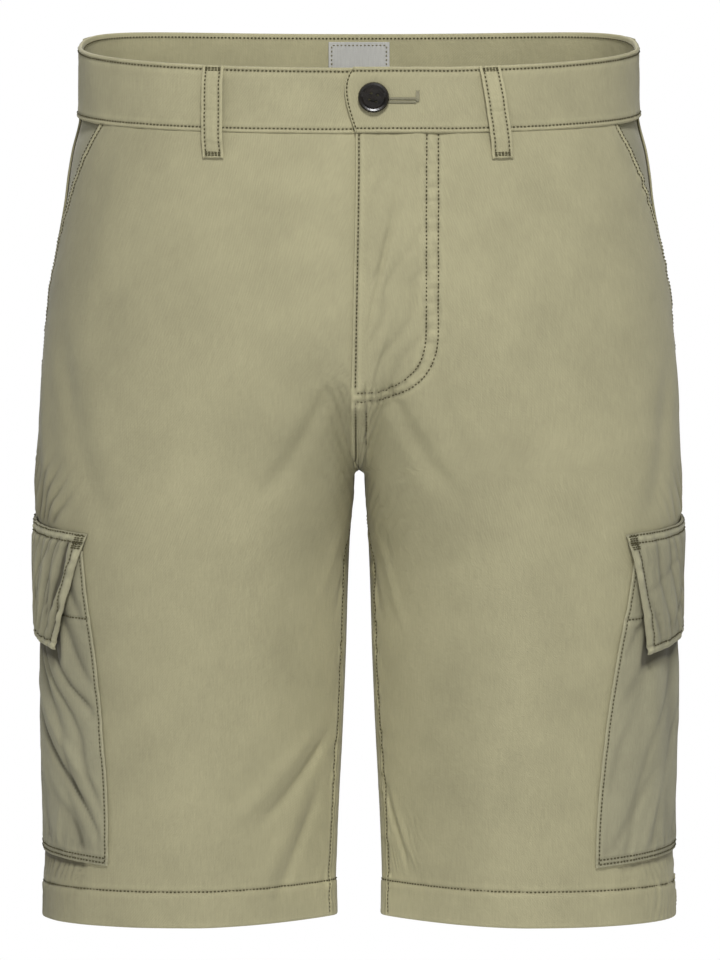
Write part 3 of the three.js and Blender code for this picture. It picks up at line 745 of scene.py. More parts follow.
def button_material():
    """Dark polished horn-like plastic with faint cloudy streaks."""
    material, nodes, links, shader = node_material("button_plastic")
    place = nodes.new("ShaderNodeTexCoord").outputs["Object"]
    stretch = nodes.new("ShaderNodeMapping")
    stretch.inputs["Scale"].default_value = (1.0, 1.0, 3.5)
    links.new(place, stretch.inputs["Vector"])
    streaks = ramp(nodes, (0.004, 0.0035, 0.0028), (0.016, 0.012, 0.008), 0.35, 0.75)
    links.new(
        noise_node(nodes, links, stretch.outputs["Vector"], 110.0, 4.0).outputs["Fac"], streaks.inputs["Fac"]
    )
    links.new(streaks.outputs["Color"], shader.inputs["Base Color"])
    wear_and_shading = nodes.new("ShaderNodeMapRange")
    wear_and_shading.inputs["To Min"].default_value = 0.2
    wear_and_shading.inputs["To Max"].default_value = 0.36
    links.new(noise_node(nodes, links, place, 500.0, 3.0).outputs["Fac"], wear_and_shading.inputs["Value"])
    links.new(wear_and_shading.outputs["Result"], shader.inputs["Roughness"])
    shader.inputs["Specular IOR Level"].default_value = 0.35
    shader.inputs["Coat Weight"].default_value = 0.12
    shader.inputs["Coat Roughness"].default_value = 0.12
    return material


CLOTH_COLOUR = (0.395, 0.368, 0.232)
# Painted shade: the pockets and flaps use a darker, greyer copy of the twill, for the light falling off round
# the sides of the legs.
SHADED_SIDE_COLOUR = (0.322, 0.305, 0.206)
FACING_COLOUR = (0.335, 0.318, 0.215)
cloth = cloth_material("twill", CLOTH_COLOUR)
shaded_side_cloth = cloth_material("shaded_side_twill", SHADED_SIDE_COLOUR)
pocket_cloth = cloth_material("pocket_twill", FACING_COLOUR)
label_cloth = cloth_material("label_tape", (0.6, 0.6, 0.585), 0.6, 34.0)
thread = thread_material("thread", (0.096, 0.086, 0.042))
pale_thread = thread_material("pale_thread", (0.31, 0.292, 0.2))
black_thread = thread_material("black_thread", (0.012, 0.011, 0.009))
button_plastic = button_material()


# Waistband edges and panel edges
def waist_lean(around):
    s = section(np.zeros_like(around))
    y = hip_ring(s, around)[1]
    front = (y - s.side_y) / (s.front + s.side_y)
    back = (y - s.side_y) / (s.back - s.side_y)
    return np.where(y < s.side_y, front, back)


def band_top(around):
    lean = waist_lean(around)
    back = WAISTBAND.back_rise * (1 - np.abs(1 - lean) ** WAISTBAND.top_round)
    return WAISTBAND.side_top + np.where(lean < 0, WAISTBAND.front_drop * lean, back)


def band_bottom(around):
    return WAISTBAND.side_bottom + WAISTBAND.bottom_slope * waist_lean(around)


def opening_arc(z):
    down = WAISTBAND.side_bottom - z
    return SLANT.top * clamp(1 - down / SLANT.length, 0.0, 1.0) ** SLANT.power


def settle(around, height_at, place_at):
    """A place whose height depends on how far round it is, found by going back and forth."""
    for _ in range(4):
        around = place_at(height_at(around))
    return around, height_at(around)


def fly_lift(x, z):
    return (CLOTH + LAID_GAP) * ease(*FLY.lift, z) * (1 - ease(FLY.flat_to, FLY.ramp_to, x))


def tab_lift(x):
    """The left half of the waistband lifts near the centre, to lie over the right one."""
    return (WAISTBAND.thick + TAB.gap) * (1 - ease(TAB.flat_to, TAB.ramp_to, x))


def tab_rise(x, z):
    """Near the waistband the left front lifts with the tab that it's sewn to."""
    return np.maximum(tab_lift(x) - WAISTBAND.proud, 0.0) * ease(*TAB.rise, z)


def low_lap_lift(x, z):
    """Below the fly the left front still lies over the right one, as far as the crotch."""
    below = (1 - ease(*FLY.lift, z)) * ease(*FLY.low, z)
    return FLY.low_rise * below * (1 - ease(-1.0, 7.0, x))


LAP_Z = np.linspace(-244.0, -184.0, 61)
LAP_AROUND = np.linspace(0.0, 0.09, 181)


def around_near_crotch(x, z):
    """The place x millimetres from the centre on the real form, close over the crotch."""
    across = body_point(LAP_AROUND[None, :], LAP_Z[:, None])[..., 0]
    table = [np.interp(x, row, LAP_AROUND) for row in across]
    return np.interp(z, LAP_Z, table)


INSEAM_TURN = SimpleNamespace(share=0.045, z=(-241.0, -300.0))


def inseam_turn(z):
    """The inseam lies a little in front of the leg's inner edge, as in the photo."""
    return INSEAM_TURN.share * ease(*INSEAM_TURN.z, z)


def front_start(side, z):
    """Where a front panel starts: lapped down the fly, at the seam below it."""
    seam = SEAM_GAP / 2 / around_width(np.full_like(z, 0.001), z) + inseam_turn(z)
    if side < 0:
        return mix(seam, around_at_x(np.full_like(z, -FLY.under), z), ease(*FLY.edge, z))
    low_lap = -around_near_crotch(FLY.low_lap, z)
    lap = around_at_x(-mix(FLY.low_lap, FLY.lap, ease(*FLY.narrows, z)), z)
    return mix(seam, mix(low_lap, lap, ease(*FLY.edge, z)), ease(*FLY.low, z))


def front_end(z):
    seam = 0.5 - SEAM_GAP / 2 / around_width(np.full_like(z, 0.5), z)
    arc = opening_arc(z)
    return np.where(arc > 0, around_at_arc(arc + 0.15, z), seam)


ROWS = SimpleNamespace(hem_zone=55.0, flap_zone=-302.0, plain=1.45)


def panel_heights(curve, step):
    """The heights of a panel's rows up to the top of the crotch curve, closest at the hem and the crotch."""
    stitched = HEM_DEPTH + np.array([-1.5, -0.8, -0.3, 0.0, 0.3, 0.8, 1.5])
    hem = HEM_Z + np.concatenate([EDGE, stitched])
    low = np.arange(HEM_Z + 2.6, HEM_Z + ROWS.hem_zone, step)
    low = low[np.abs(low - HEM_Z - HEM_DEPTH) > 2.2]
    middle = np.arange(HEM_Z + ROWS.hem_zone, ROWS.flap_zone, step * ROWS.plain)
    flap = np.arange(ROWS.flap_zone, CROTCH_Z - 4.5, step)
    near = CROTCH_Z - np.array([4.2, 3.0, 2.0, 1.2, 0.6, 0.2, 0.0])
    arch = CROTCH_Z + curve * (1 - np.cos(np.linspace(0, math.pi / 2, 20)[1:]))
    arch = np.concatenate([arch[:6], np.arange(arch[5] + step, CROTCH_Z + curve, step), [CROTCH_Z + curve]])
    return np.unique(np.concatenate([hem, low, middle, flap, near, arch]).round(4))


def hem_lift(z):
    """The hem's turned-up layer makes the bottom 22 mm a little thicker, inside and out."""
    return ease(HEM_Z + HEM_DEPTH + 1.5, HEM_Z + HEM_DEPTH - 1.5, z)


def panel_grid(place_at, guess, columns, low_heights, curve, step):
    """Places of a panel's grid: rows by height, then rows that end along the waistband."""
    upper = marks(1.0, step * ROWS.plain / 165.0, (0.0,), (0.0, 0.002, 0.006))[1:]
    around_rows, z_rows = [], []
    for z in low_heights:
        heights = np.full_like(columns, z)
        around_rows.append(place_at(columns, heights))
        z_rows.append(heights)
    for share in upper:
        around, heights = settle(
            mix(*guess, columns),
            lambda around: mix(CROTCH_Z + curve, band_bottom(around) - 0.1, share),
            lambda z: place_at(columns, z),
        )
        around_rows.append(around)
        z_rows.append(heights)
    return np.array(around_rows), np.array(z_rows)


def front_place(side):
    def place(share, z):
        return mix(front_start(side, z), front_end(z), share)

    return place


def back_place(share, z):
    start = 0.5 + SEAM_GAP / 2 / around_width(np.full_like(z, 0.5), z)
    end = 1 - SEAM_GAP / 2 / around_width(np.full_like(z, 0.999), z) + inseam_turn(z)
    return mix(start, end, share)


# Sewn lines, each a run of (around, z)
INSET = SimpleNamespace(
    pocket=5.0, pocket_edge=1.3, inseam=1.9, fly_edge=1.9, side=2.2,
    seam_pair=(2.2, 8.4), back_pair=(2.0, 8.0),
)
FLY_CURVE = SimpleNamespace(outer=(47.0, -155.0, -197.0), inner=(39.9, -155.0, -192.0), square=2.55)


def fly_line(reach, turn_z, low_z, step=2.5):
    """The stitched J of the fly, down and round to the centre seam."""
    down = np.arange(-34.0, turn_z, -step)
    angle = np.linspace(0, math.pi / 2, 26)
    power = 2 / FLY_CURVE.square
    x = np.concatenate([np.full_like(down, reach), -1.5 + (reach + 1.5) * np.cos(angle) ** power])
    z = np.concatenate([down, turn_z - (turn_z - low_z) * np.sin(angle) ** power])
    return np.stack([around_at_x(x, z), z], axis=-1)


def inset_line(place, share, offset, low, high, step=4.0):
    """A line that runs offset millimetres inside a panel's first edge, or its last one."""
    z = np.arange(low, high + step / 2, step)
    edge = place(np.full_like(z, share), z)
    width = around_width(wrapped(edge), z)
    sign = 1 if share == 0 else -1
    return np.stack([edge + sign * offset / width, z], axis=-1)


def hem_line(place):
    share = np.linspace(0.006, 0.994, 60)
    z = np.full_like(share, HEM_Z + HEM_DEPTH)
    return np.stack([place(share, z), z], axis=-1)


def front_lines(side):
    place = front_place(side)
    lines = {
        "hem": hem_line(place),
        "inseam": inset_line(place, 0, INSET.inseam, HEM_Z + 2, CROTCH_Z - 12),
        "pocket": inset_line(place, 1, INSET.pocket, SLANT_LOW + 8, -26.0),
        "pocket_edge": inset_line(place, 1, INSET.pocket_edge, SLANT_LOW + 8, -26.0),
    }
    if side > 0:
        lines["fly_outer"] = fly_line(*FLY_CURVE.outer)
        lines["fly_inner"] = fly_line(*FLY_CURVE.inner)
        lines["fly_edge"] = inset_line(place, 0, INSET.fly_edge, FLY.lift[1], -40.0)
        z = np.arange(FLY.low[1] + 0.5, FLY.lift[1] - 6, 3.0)
        near, far = (offset - FLY.low_lap for offset in INSET.seam_pair)
        lines["seam_near"] = np.stack([-around_near_crotch(-near, z), z], axis=-1)
        lines["seam_far"] = np.stack([around_near_crotch(far, z), z], axis=-1)
    return lines


def back_lines(side):
    lines = {
        "hem": hem_line(back_place),
        "side": inset_line(back_place, 0, INSET.side, HEM_Z + 2, SLANT_LOW),
        "inseam": inset_line(back_place, 1, INSET.inseam, HEM_Z + 2, CROTCH_Z - 12),
    }
    if side > 0:
        lines["centre_near"] = inset_line(back_place, 1, INSET.back_pair[0], CROTCH_Z + 20, -9.0)
        lines["centre_far"] = inset_line(back_place, 1, INSET.back_pair[1], CROTCH_Z + 26, -9.0)
    return lines


# How strongly each sewn line puckers the cloth beside it
LINE_PUCKER = {
    "hem": 0.8, "inseam": 0.8, "side": 1.6, "pocket": 0.9, "pocket_edge": 0.5,
    "fly_outer": 1.2, "fly_inner": 1.2, "fly_edge": 0.7, "seam_near": 1.3, "seam_far": 1.4,
    "centre_near": 1.2, "centre_far": 1.2,
}


def lines_relief(lines, around, z):
    """What all the sewn lines of a panel add to its relief, and to its colour: paler worn ridges and painted
    shade.
    """
    width = around_width(wrapped(around), z)
    total, wear_and_shading = np.zeros(around.shape), np.zeros(around.shape)
    for k, (name, line) in enumerate(sorted(lines.items())):
        distance, along = line_distance(line, around, z, width)
        total += sewn_relief(distance, along, 40 + k, LINE_PUCKER[name])
        wear_and_shading += sewn_wear_and_shade(distance)
    return total, wear_and_shading


# shade paints shade towards the side seam, darkest on the right leg; the left leg's value above 0 paints light
# there.
SIDE_SEAM = SimpleNamespace(pucker=1.1, wide=11.0, shade={1: 0.25, -1: -1.8}, shade_wide=0.155, mm=620.0)
GATHERS = {
    1: SimpleNamespace(size=(9.0, 60.0), swell=1.8, crease=2.2, lean=0.7, wide=40.0, tall=44.0, dark=3.4),
    -1: SimpleNamespace(size=(8.0, 64.0), swell=3.0, crease=3.4, lean=0.7, wide=50.0, tall=54.0, dark=4.4),
}
HEM_RIBS = SimpleNamespace(size=(5.5, 40.0), swell=0.6, crease=0.5, wide=0.13)
BELOW_POCKET = SimpleNamespace(
    shade=2.2, size=(5.0, 26.0), lean=0.5, swell=0.5, crease=0.6, dark=0.9, reach=22.0,
)


def below_pocket(side, offset, z):
    """The shadow line along the cargo pocket's lower edge, and short gathers between it and the hem."""
    way = BELOW_POCKET
    below = CARGO.bottom - CARGO.slope * offset - z
    front = CARGO_FRONT[side].pocket_bottom
    within = ease(front + 1, front - 3, offset) * ease(-CARGO.back_bottom - 1, -CARGO.back_bottom + 3, offset)
    line = within * ease(-1.5, 0.2, below) * ease(3.6, 0.8, below)
    there = within * ease(0.0, 3.0, below) * ease(way.reach, way.reach / 4, below)
    seed = 331 if side > 0 else 335
    bump, dark = wrinkles(offset + way.lean * below, below, way.size, seed, way.swell, way.crease)
    # Painted shade in the gathers' creases, and a painted shadow line under the pocket's edge.
    return there * bump, way.dark * there * dark - way.shade * line


def side_seam_relief(side, around, z):
    """Puckers where the panels are sewn together at the side, gathers over the flap, and painted shade: in the
    creases, and towards the side seam, with a little painted light there on the left leg.
    """
    offset = (0.5 - around) * SIDE_SEAM.mm
    distance = np.abs(offset)
    calm = ease(-150.0, -190.0, z) * ease(HEM_Z + 6, HEM_Z + 40, z)
    covered = ease(FLAP.top + 8, FLAP.top, z) * ease(CARGO.bottom - 8, CARGO.bottom, z)
    seed = 301 if side > 0 else 311
    sewn = bell(distance / SIDE_SEAM.wide) * calm * (1 - 0.9 * covered)
    relief = SIDE_SEAM.pucker * creases(z, distance, seed) * sewn
    way = GATHERS[side]
    above = z - (FLAP.top - FLAP.top_slope * offset)
    there = ease(0.5, 5.0, above) * (1 - ease(way.tall / 3, way.tall, above))
    there = there * bell((offset - 8.0) / way.wide)
    bump, dark = wrinkles(offset - way.lean * above, above, way.size, seed + 4, way.swell, way.crease)
    relief, wear_and_shading = relief + there * (bump + 0.7), way.dark * there * dark
    hem = hem_lift(z) * bell((around - 0.5) / HEM_RIBS.wide)
    bump, dark = wrinkles(offset, z, HEM_RIBS.size, seed + 8, HEM_RIBS.swell, HEM_RIBS.crease)
    relief, wear_and_shading = relief + hem * bump, wear_and_shading + hem * dark
    bump, dark = below_pocket(side, offset, z)
    relief, wear_and_shading = relief + bump, wear_and_shading + dark
    return relief, wear_and_shading + SIDE_SEAM.shade[side] * bell((around - 0.5) / SIDE_SEAM.shade_wide)


WELT = SimpleNamespace(high=0.6, wide=5.2, wear_and_shading=1.5)


def welt_relief(around, z):
    """The doubled strip along the slant opening stands off the facing and is worn paler."""
    arc = opening_arc(z)
    width = around_width(clamp(around, 0.001, 0.5), z)
    distance = np.maximum((around_at_arc(arc, z) - around) * width, 0.0)
    there = ease(0.5, 10.0, arc)
    wear_and_shading = WELT.wear_and_shading * bell((distance - WELT.wide / 2) / 2.0)
    return there * edge_roll(distance, WELT.high, WELT.wide), there * wear_and_shading


FLY_STRIP = SimpleNamespace(apart=7.2, soft=1.0, swell=0.5, crease=0.8, every=7.6, sharp=0.42, wear_and_shading=1.2)
FLY_DRAG = SimpleNamespace(
    slope=0.5, size=(13.0, 50.0), swell=0.6, crease=0.6, dark=0.35,
    start=(2.0, 10.0), end=(44.0, 70.0), top=(-36.0, -60.0), low=(-215.0, -180.0),
)
CROTCH_DRAG = SimpleNamespace(
    slope=0.75, size=(10.0, 34.0), swell=0.8, crease=0.8, around=0.02, wide=0.1, middle=-225.0, tall=60.0,
)


def fly_relief(lines, around, z, x):
    """Cushions between the two rows of the J, cut by short creases, and diagonal creases on the fly, with
    painted shade in the creases.
    """
    width = around_width(clamp(around, 0.001, 0.999), z)
    outer, along = line_distance(lines["fly_outer"], around, z, width)
    inner = line_distance(lines["fly_inner"], around, z, width)[0]
    far = np.maximum(outer, inner)
    strip = ease(FLY_STRIP.apart + FLY_STRIP.soft, FLY_STRIP.apart - FLY_STRIP.soft, far)
    wander = along + 2.4 * noise(along / 19, outer / 40, 211)
    strength = 0.75 + 0.35 * noise(along / 23, outer / 40, 213)
    cut = strength * bell(np.sin(math.pi * wander / FLY_STRIP.every) / FLY_STRIP.sharp)
    relief = strip * (FLY_STRIP.swell * noise(along / 4.0, outer / 20, 212) - FLY_STRIP.crease * cut)
    wear_and_shading = strip * (0.35 - FLY_STRIP.wear_and_shading * cut)
    way = FLY_DRAG
    there = ease(*way.start, x) * (1 - ease(*way.end, x)) * ease(*way.top, z) * ease(*way.low, z)
    bump, dark = wrinkles(x - way.slope * z, z, way.size, 215, way.swell, way.crease)
    return relief + there * bump, wear_and_shading + way.dark * there * dark


SEAM_STRIP = SimpleNamespace(
    x=(-2.4, 4.6), low=(-241.0, -238.0), high=(-193.0, -203.0), soft=0.8, dark=1.1,
    size=(3.4, 9.0), swell=0.4, crease=0.5,
)


def seam_strip(x, z):
    """The puckered strip between the two rows of stitches below the fly, darkened with painted shade."""
    way = SEAM_STRIP
    first, last = way.x
    across = ease(first - way.soft, first + way.soft, x) * ease(last + way.soft, last - way.soft, x)
    there = across * ease(*way.high, z) * ease(*way.low, z)
    bump, dark = wrinkles(z, x, way.size, 241, way.swell, way.crease)
    return there * bump, there * (dark - way.dark)


INNER_PAINTED_LIGHT = SimpleNamespace(wear_and_shading=1.25, wide=0.085, z=(-195.0, -262.0))
LEG_GATHERS = SimpleNamespace(
    size=(4.2, 20.0), lean=0.45, swell=0.45, crease=0.55, dark=1.1,
    around=0.085, wide=0.035, z=-468.0, tall=30.0,
)


def inner_leg(side, around, z):
    """Painted light down the inner leg, and fine gathers over the hem of the left one, with painted shade in
    their creases.
    """
    inward = np.abs(around - inseam_turn(z))
    wear_and_shading = INNER_PAINTED_LIGHT.wear_and_shading * bell(inward / INNER_PAINTED_LIGHT.wide) * ease(*INNER_PAINTED_LIGHT.z, z)
    if side < 0:
        return np.zeros(around.shape), wear_and_shading
    way = LEG_GATHERS
    there = bell((around - way.around) / way.wide) * bell((z - way.z) / way.tall)
    there = there * ease(HEM_Z + 20, HEM_Z + 28, z)
    bump, dark = wrinkles(around * AROUND_MM + way.lean * z, z, way.size, 245, way.swell, way.crease)
    return there * bump, wear_and_shading + way.dark * there * dark


def crotch_drag(side, around, z):
    """Fine folds that the crotch draws outward and down on both legs, with painted shade in their creases."""
    way = CROTCH_DRAG
    across = around * AROUND_MM
    there = bell((around - way.around) / way.wide) * bell((z - way.middle) / way.tall)
    there = there * ease(0.004, 0.02, around)
    seed = 231 if side > 0 else 235
    bump, dark = wrinkles(across - way.slope * z, across + z, way.size, seed, way.swell, way.crease)
    return there * bump, there * dark


def front_relief(side, lines, around, z):
    total, wear_and_shading = lines_relief(lines, around, z)
    x = body_point(around, z)[..., 0]
    parts = [side_seam_relief(side, around, z), welt_relief(around, z), crotch_drag(side, around, z)]
    parts.append(inner_leg(side, around, z))
    lift = np.zeros(around.shape)
    if side > 0:
        parts.append(fly_relief(lines, around, z, x))
        parts.append(seam_strip(np.where(around < 0, -np.abs(x), x), z))
        lift = np.maximum(fly_lift(x, z), tab_rise(x, z)) + low_lap_lift(x, z)
    for relief, tone in parts:
        total, wear_and_shading = total + relief, wear_and_shading + tone
    return total + 0.35 * hem_lift(z) + lift, wear_and_shading


def back_relief(side, lines, around, z):
    total, wear_and_shading = lines_relief(lines, around, z)
    relief, tone = side_seam_relief(side, around, z)
    return total + relief + 0.35 * hem_lift(z), wear_and_shading + tone


def lay_lines(group, side, lines, relief_at, skip=()):
    for name, line in sorted(lines.items()):
        if name in skip:
            continue
        length = np.concatenate([[0], np.cumsum(np.hypot(np.diff(line[:, 0]) * 520, np.diff(line[:, 1])))])
        even = np.linspace(0, length[-1], max(4, int(length[-1] / 1.6)))
        around, z = np.interp(even, length, line[:, 0]), np.interp(even, length, line[:, 1])
        patch = Patch(side, around, z)
        sew(group, patch.lifted(relief_at(around, z)[0] + STITCH.proud), patch.outward())


OPENING_TACK = SimpleNamespace(z=-30.4, inside=(3.8, 9.4), tall=2.2, pitch=0.8, long=2.0, thick=0.55)


def sew_opening_tack(side, relief_at):
    """The short bar of close stitches that closes the top of the slant opening."""
    way = OPENING_TACK
    z = way.z + np.linspace(-0.5, 0.5, 4) * way.tall
    for inside in np.arange(*way.inside, way.pitch):
        around = around_at_arc(opening_arc(z) + inside, z)
        patch = Patch(side, around, z)
        surface = patch.lifted(relief_at(around, z)[0] + STITCH.proud)
        sew("stitches_front", surface, patch.outward(), long=way.long, pitch=way.tall, thick=way.thick)


FRONT_STEP, BACK_STEP = 1.5, 2.0
FRONT_GUESS, BACK_GUESS = (0.1, 0.45), (0.5, 1.0)
HEM_WEAR = SimpleNamespace(pale=0.6, tall=2.5)


def panel_wall(columns, wide, relief, z):
    """A panel's wall: the lift of its outer and inner faces, thin at its edges and thicker at the hem."""
    a = columns[None, :] * wide
    edge = rounded(a, PANEL.edge) * rounded(wide - a, PANEL.edge) * rounded(z - HEM_Z, PANEL.hem_edge)
    half = (CLOTH + 0.5 * hem_lift(z)) / 2
    middle = relief - CLOTH / 2
    return middle + half * edge, middle - half * edge - 0.6 * hem_lift(z)


def make_front(side):
    word = SIDE_WORDS[side]
    place = front_place(side)
    lines = front_lines(side)
    wide = PANEL.front_wide
    fine = 54.0 if side > 0 else 13.0
    start, end = EDGE + tuple(np.arange(2.3, fine, 1.0)), EDGE + tuple(np.arange(2.3, 64.0, 1.4))
    columns = marks(wide, 3.0, start, end) / wide
    heights = panel_heights(FRONT_CURVE, FRONT_STEP)
    around, z = panel_grid(place, FRONT_GUESS, columns, heights, FRONT_CURVE, FRONT_STEP)
    patch = Patch(side, around, z)
    relief, wear_and_shading = front_relief(side, lines, around, z)
    high, low = panel_wall(columns, wide, relief, z)
    wear_and_shading = wear_and_shading + HEM_WEAR.pale * bell((z - HEM_Z) / HEM_WEAR.tall)
    if side > 0:
        lapped = (patch.point[..., 0] < FLY.under + 1.0) & (z > FLY.low[0])
        low = np.where(lapped, np.maximum(low, FLY.clear), low)
    high = np.maximum(high, low + 0.3)
    outer, inner = patch.lifted(high), patch.lifted(low)
    obj = build_shell("cloth_front_" + word, outer, inner, arc_lengths(outer), wear_and_shading, cloth, side)
    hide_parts("front_" + word)
    lay_lines("stitches_front", side, lines, lambda au, zz: front_relief(side, lines, au, zz))
    sew_opening_tack(side, lambda au, zz: front_relief(side, lines, au, zz))
    return obj


BACK_SEAM = SimpleNamespace(reach=9.0, below=3.0)


def at_back_seam(points, side, z, from_edge):
    """Brings the edge back to the seam where the creases draw it off, and the cloth beside it with it."""
    off = points[:, -1:, 0] - side * SEAM_GAP / 2
    near = ease(BACK_SEAM.reach, 0.0, from_edge) * ease(CROTCH_Z - BACK_SEAM.below, CROTCH_Z, z)
    moved = points.copy()
    moved[..., 0] -= off * near
    return moved


def make_back(side):
    word = SIDE_WORDS[side]
    lines = back_lines(side)
    wide = PANEL.back_wide
    start = EDGE + tuple(np.arange(2.2, 12.0, 1.1)) + tuple(np.arange(13.5, 44.0, 2.0))
    end = EDGE + tuple(np.arange(2.3, 12.0, 1.0))
    columns = marks(wide, 3.4, start, end) / wide
    heights = panel_heights(BACK_CURVE, BACK_STEP)
    around, z = panel_grid(back_place, BACK_GUESS, columns, heights, BACK_CURVE, BACK_STEP)
    patch = Patch(side, around, z)
    relief, wear_and_shading = back_relief(side, lines, around, z)
    high, low = panel_wall(columns, wide, relief, z)
    wear_and_shading = wear_and_shading + HEM_WEAR.pale * bell((z - HEM_Z) / HEM_WEAR.tall)
    from_edge = wide - columns[None, :] * wide
    outer = at_back_seam(patch.lifted(high), side, z, from_edge)
    inner = at_back_seam(patch.lifted(low), side, z, from_edge)
    obj = build_shell("cloth_back_" + word, outer, inner, arc_lengths(outer), wear_and_shading, cloth, side)
    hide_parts("back_" + word)
    lay_lines("stitches_back", side, lines, lambda au, zz: back_relief(side, lines, au, zz), skip=("inseam",))
    return obj


def make_facing(side):
    word = SIDE_WORDS[side]
    columns = marks(1.0, 0.03)
    rows = marks(1.0, 0.016)
    b = np.repeat(rows[:, None], len(columns), axis=1)
    a = np.repeat(columns[None, :], len(rows), axis=0)

    def height_at(around):
        return mix(SLANT_LOW, band_bottom(around) - 0.3, b)

    def place_at(z):
        return mix(around_at_arc(opening_arc(z) + SLANT.facing_overlap, z), 0.5 + SLANT.facing_tuck, a)

    around, z = settle(mix(0.42, 0.5, a), height_at, place_at)
    patch = Patch(side, around, z)
    lift = np.full(around.shape, -CLOTH - SLANT.facing_gap)
    outer, inner = patch.lifted(lift), patch.lifted(lift - CLOTH)
    plain = np.zeros(around.shape)
    obj = build_shell("cloth_facing_" + word, outer, inner, arc_lengths(outer), plain, pocket_cloth, side)
    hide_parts("pocket_facing_" + word)
    return obj


# Waistband
BAND_INSET = 2.8
BAND_ROLL = 0.45
BAND_DEEPER = 0.35
# Painted light on the band's inner face.
BAND_INSIDE_PAINTED_LIGHT = 1.5
BAND_RELIEF_OUT, BAND_RELIEF_IN = 0.8, 0.3


def band_lift(side, around):
    if side < 0:
        return np.zeros_like(around)
    x = body_point(clamp(around, -0.2, 0.6), np.zeros_like(around))[..., 0]
    return np.where(around > 0.6, 0.0, tab_lift(x))


def band_place(side, a, b):
    middle_z = mix(band_bottom(np.zeros_like(b)), band_top(np.zeros_like(b)), b)
    tab_x = TAB.end - TAB.belly * np.sin(math.pi * clamp(b, 0.02, 0.98) ** TAB.lean) ** TAB.round
    start = around_at_x(tab_x if side > 0 else np.full_like(b, -TAB.underlap), middle_z)
    around = mix(start, 1 - 0.0001, a)
    return around, mix(band_bottom(around), band_top(around), b)


def band_relief(side, a, b, around, z):
    """Lip above and below the two rows of stitches, and the small gathers between them."""
    seed = 61 if side > 0 else 67
    long, tall = WAISTBAND.long, WAISTBAND.tall
    up, down, start = (1 - b) * tall, b * tall, a * long
    along = around * AROUND_MM
    relief, wear_and_shading = np.zeros(around.shape), np.zeros(around.shape)
    for k, distance in enumerate((up, down) + ((start,) if side > 0 else ())):
        relief += sewn_relief(np.abs(distance - BAND_INSET), z if k == 2 else along, seed + k, 0.75)
        relief += edge_roll(distance, BAND_ROLL, BAND_INSET)
        wear_and_shading += sewn_wear_and_shade(np.abs(distance - BAND_INSET)) + 0.6 * bell((distance - 1.2) / 1.2)
    relief += 0.25 * noise(along / 15, z / 13, seed + 5) + 0.4 * noise(along / 44, z / 60, seed + 6)
    ribs = bell((around - 0.5) / 0.1)
    relief += 0.3 * ribs * noise(along / 4.2, z / 30, seed + 7) * ease(3.0, 9.0, up) * ease(3.0, 9.0, down)
    # Painted shade darkens the stitched grooves, and a quarter of the side seam's painted shade or light
    # reaches the band beside it.
    return relief, wear_and_shading + 0.25 * SIDE_SEAM.shade[side] * ribs - BAND_DEEPER


def make_band(side):
    word = SIDE_WORDS[side]
    long, tall = WAISTBAND.long, WAISTBAND.tall
    columns = marks(long, 1.9, EDGE + (2.2, 2.8, 3.4, 4.2), (0.0, 0.6)) / long
    rows = marks(tall, 1.5, EDGE + (2.2, 2.8, 3.4, 4.2), EDGE + (2.2, 2.8, 3.4, 4.2)) / tall
    a, b = np.meshgrid(columns, rows)
    around, z = band_place(side, a, b)
    patch = Patch(side, around, z)
    lift = band_lift(side, around) + WAISTBAND.proud
    relief, wear_and_shading = band_relief(side, a, b, around, z)
    edge = np.prod([rounded(d, WAISTBAND.edge) for d in (b * tall, (1 - b) * tall, a * long)], axis=0)
    half = WAISTBAND.thick / 2
    middle = lift - half
    outer = patch.lifted(middle + relief * BAND_RELIEF_OUT + half * edge)
    inner = patch.lifted(middle + relief * BAND_RELIEF_IN - half * edge)
    obj = build_shell(
        "cloth_waistband_" + word, outer, inner, arc_lengths(outer), wear_and_shading, cloth, side, BAND_INSIDE_PAINTED_LIGHT,
    )
    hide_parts("waistband_" + word)

    def run(a_run, b_run, inside=False):
        au, zz = band_place(side, a_run, b_run)
        spot = Patch(side, au, zz)
        bump = band_relief(side, a_run, b_run, au, zz)[0]
        top = band_lift(side, au) + WAISTBAND.proud
        low = top - WAISTBAND.thick + BAND_RELIEF_IN * bump - STITCH.proud / 2
        high = top + BAND_RELIEF_OUT * bump + STITCH.proud
        if inside:
            sew("stitches_waistband", spot.lifted(low), -spot.outward())
        else:
            sew("stitches_waistband", spot.lifted(high), spot.outward())

    inset_b, inset_a = BAND_INSET / tall, BAND_INSET / long
    share = np.linspace(inset_a if side > 0 else 0.002, 0.999, 300)
    for level in (inset_b, 1 - inset_b):
        run(share, np.full_like(share, level))
        run(share, np.full_like(share, level), inside=True)
    if side > 0:
        up = np.linspace(inset_b, 1 - inset_b, 24)
        run(np.full_like(up, inset_a), up)
    return obj


# Cargo pockets and flaps
PRESSED = SimpleNamespace(share=0.6, b=(0.6, 0.74))


def pocket_arc(side, a, b):
    front = CARGO_FRONT[side]
    start = mix(front.pocket_bottom, front.pocket_top, b)
    arc = mix(start, -mix(CARGO.back_bottom, CARGO.back_top, b), a)
    return arc, mix(CARGO.bottom, CARGO.top, b) - CARGO.slope * arc


def pocket_place(side, a, b):
    arc, z = pocket_arc(side, a, b)
    return around_at_arc(arc, z), z


def flap_place(side, a, b):
    front = CARGO_FRONT[side]
    arc = mix(mix(front.flap_tip, front.flap_top, b), -(FLAP.back - FLAP.back_taper * (1 - b)), a)
    slope = np.where(arc > 0, FLAP.bottom_slope, CARGO.slope)
    z = mix(FLAP.bottom - slope * arc, FLAP.top - FLAP.top_slope * arc, b)
    return around_at_arc(arc, z), z


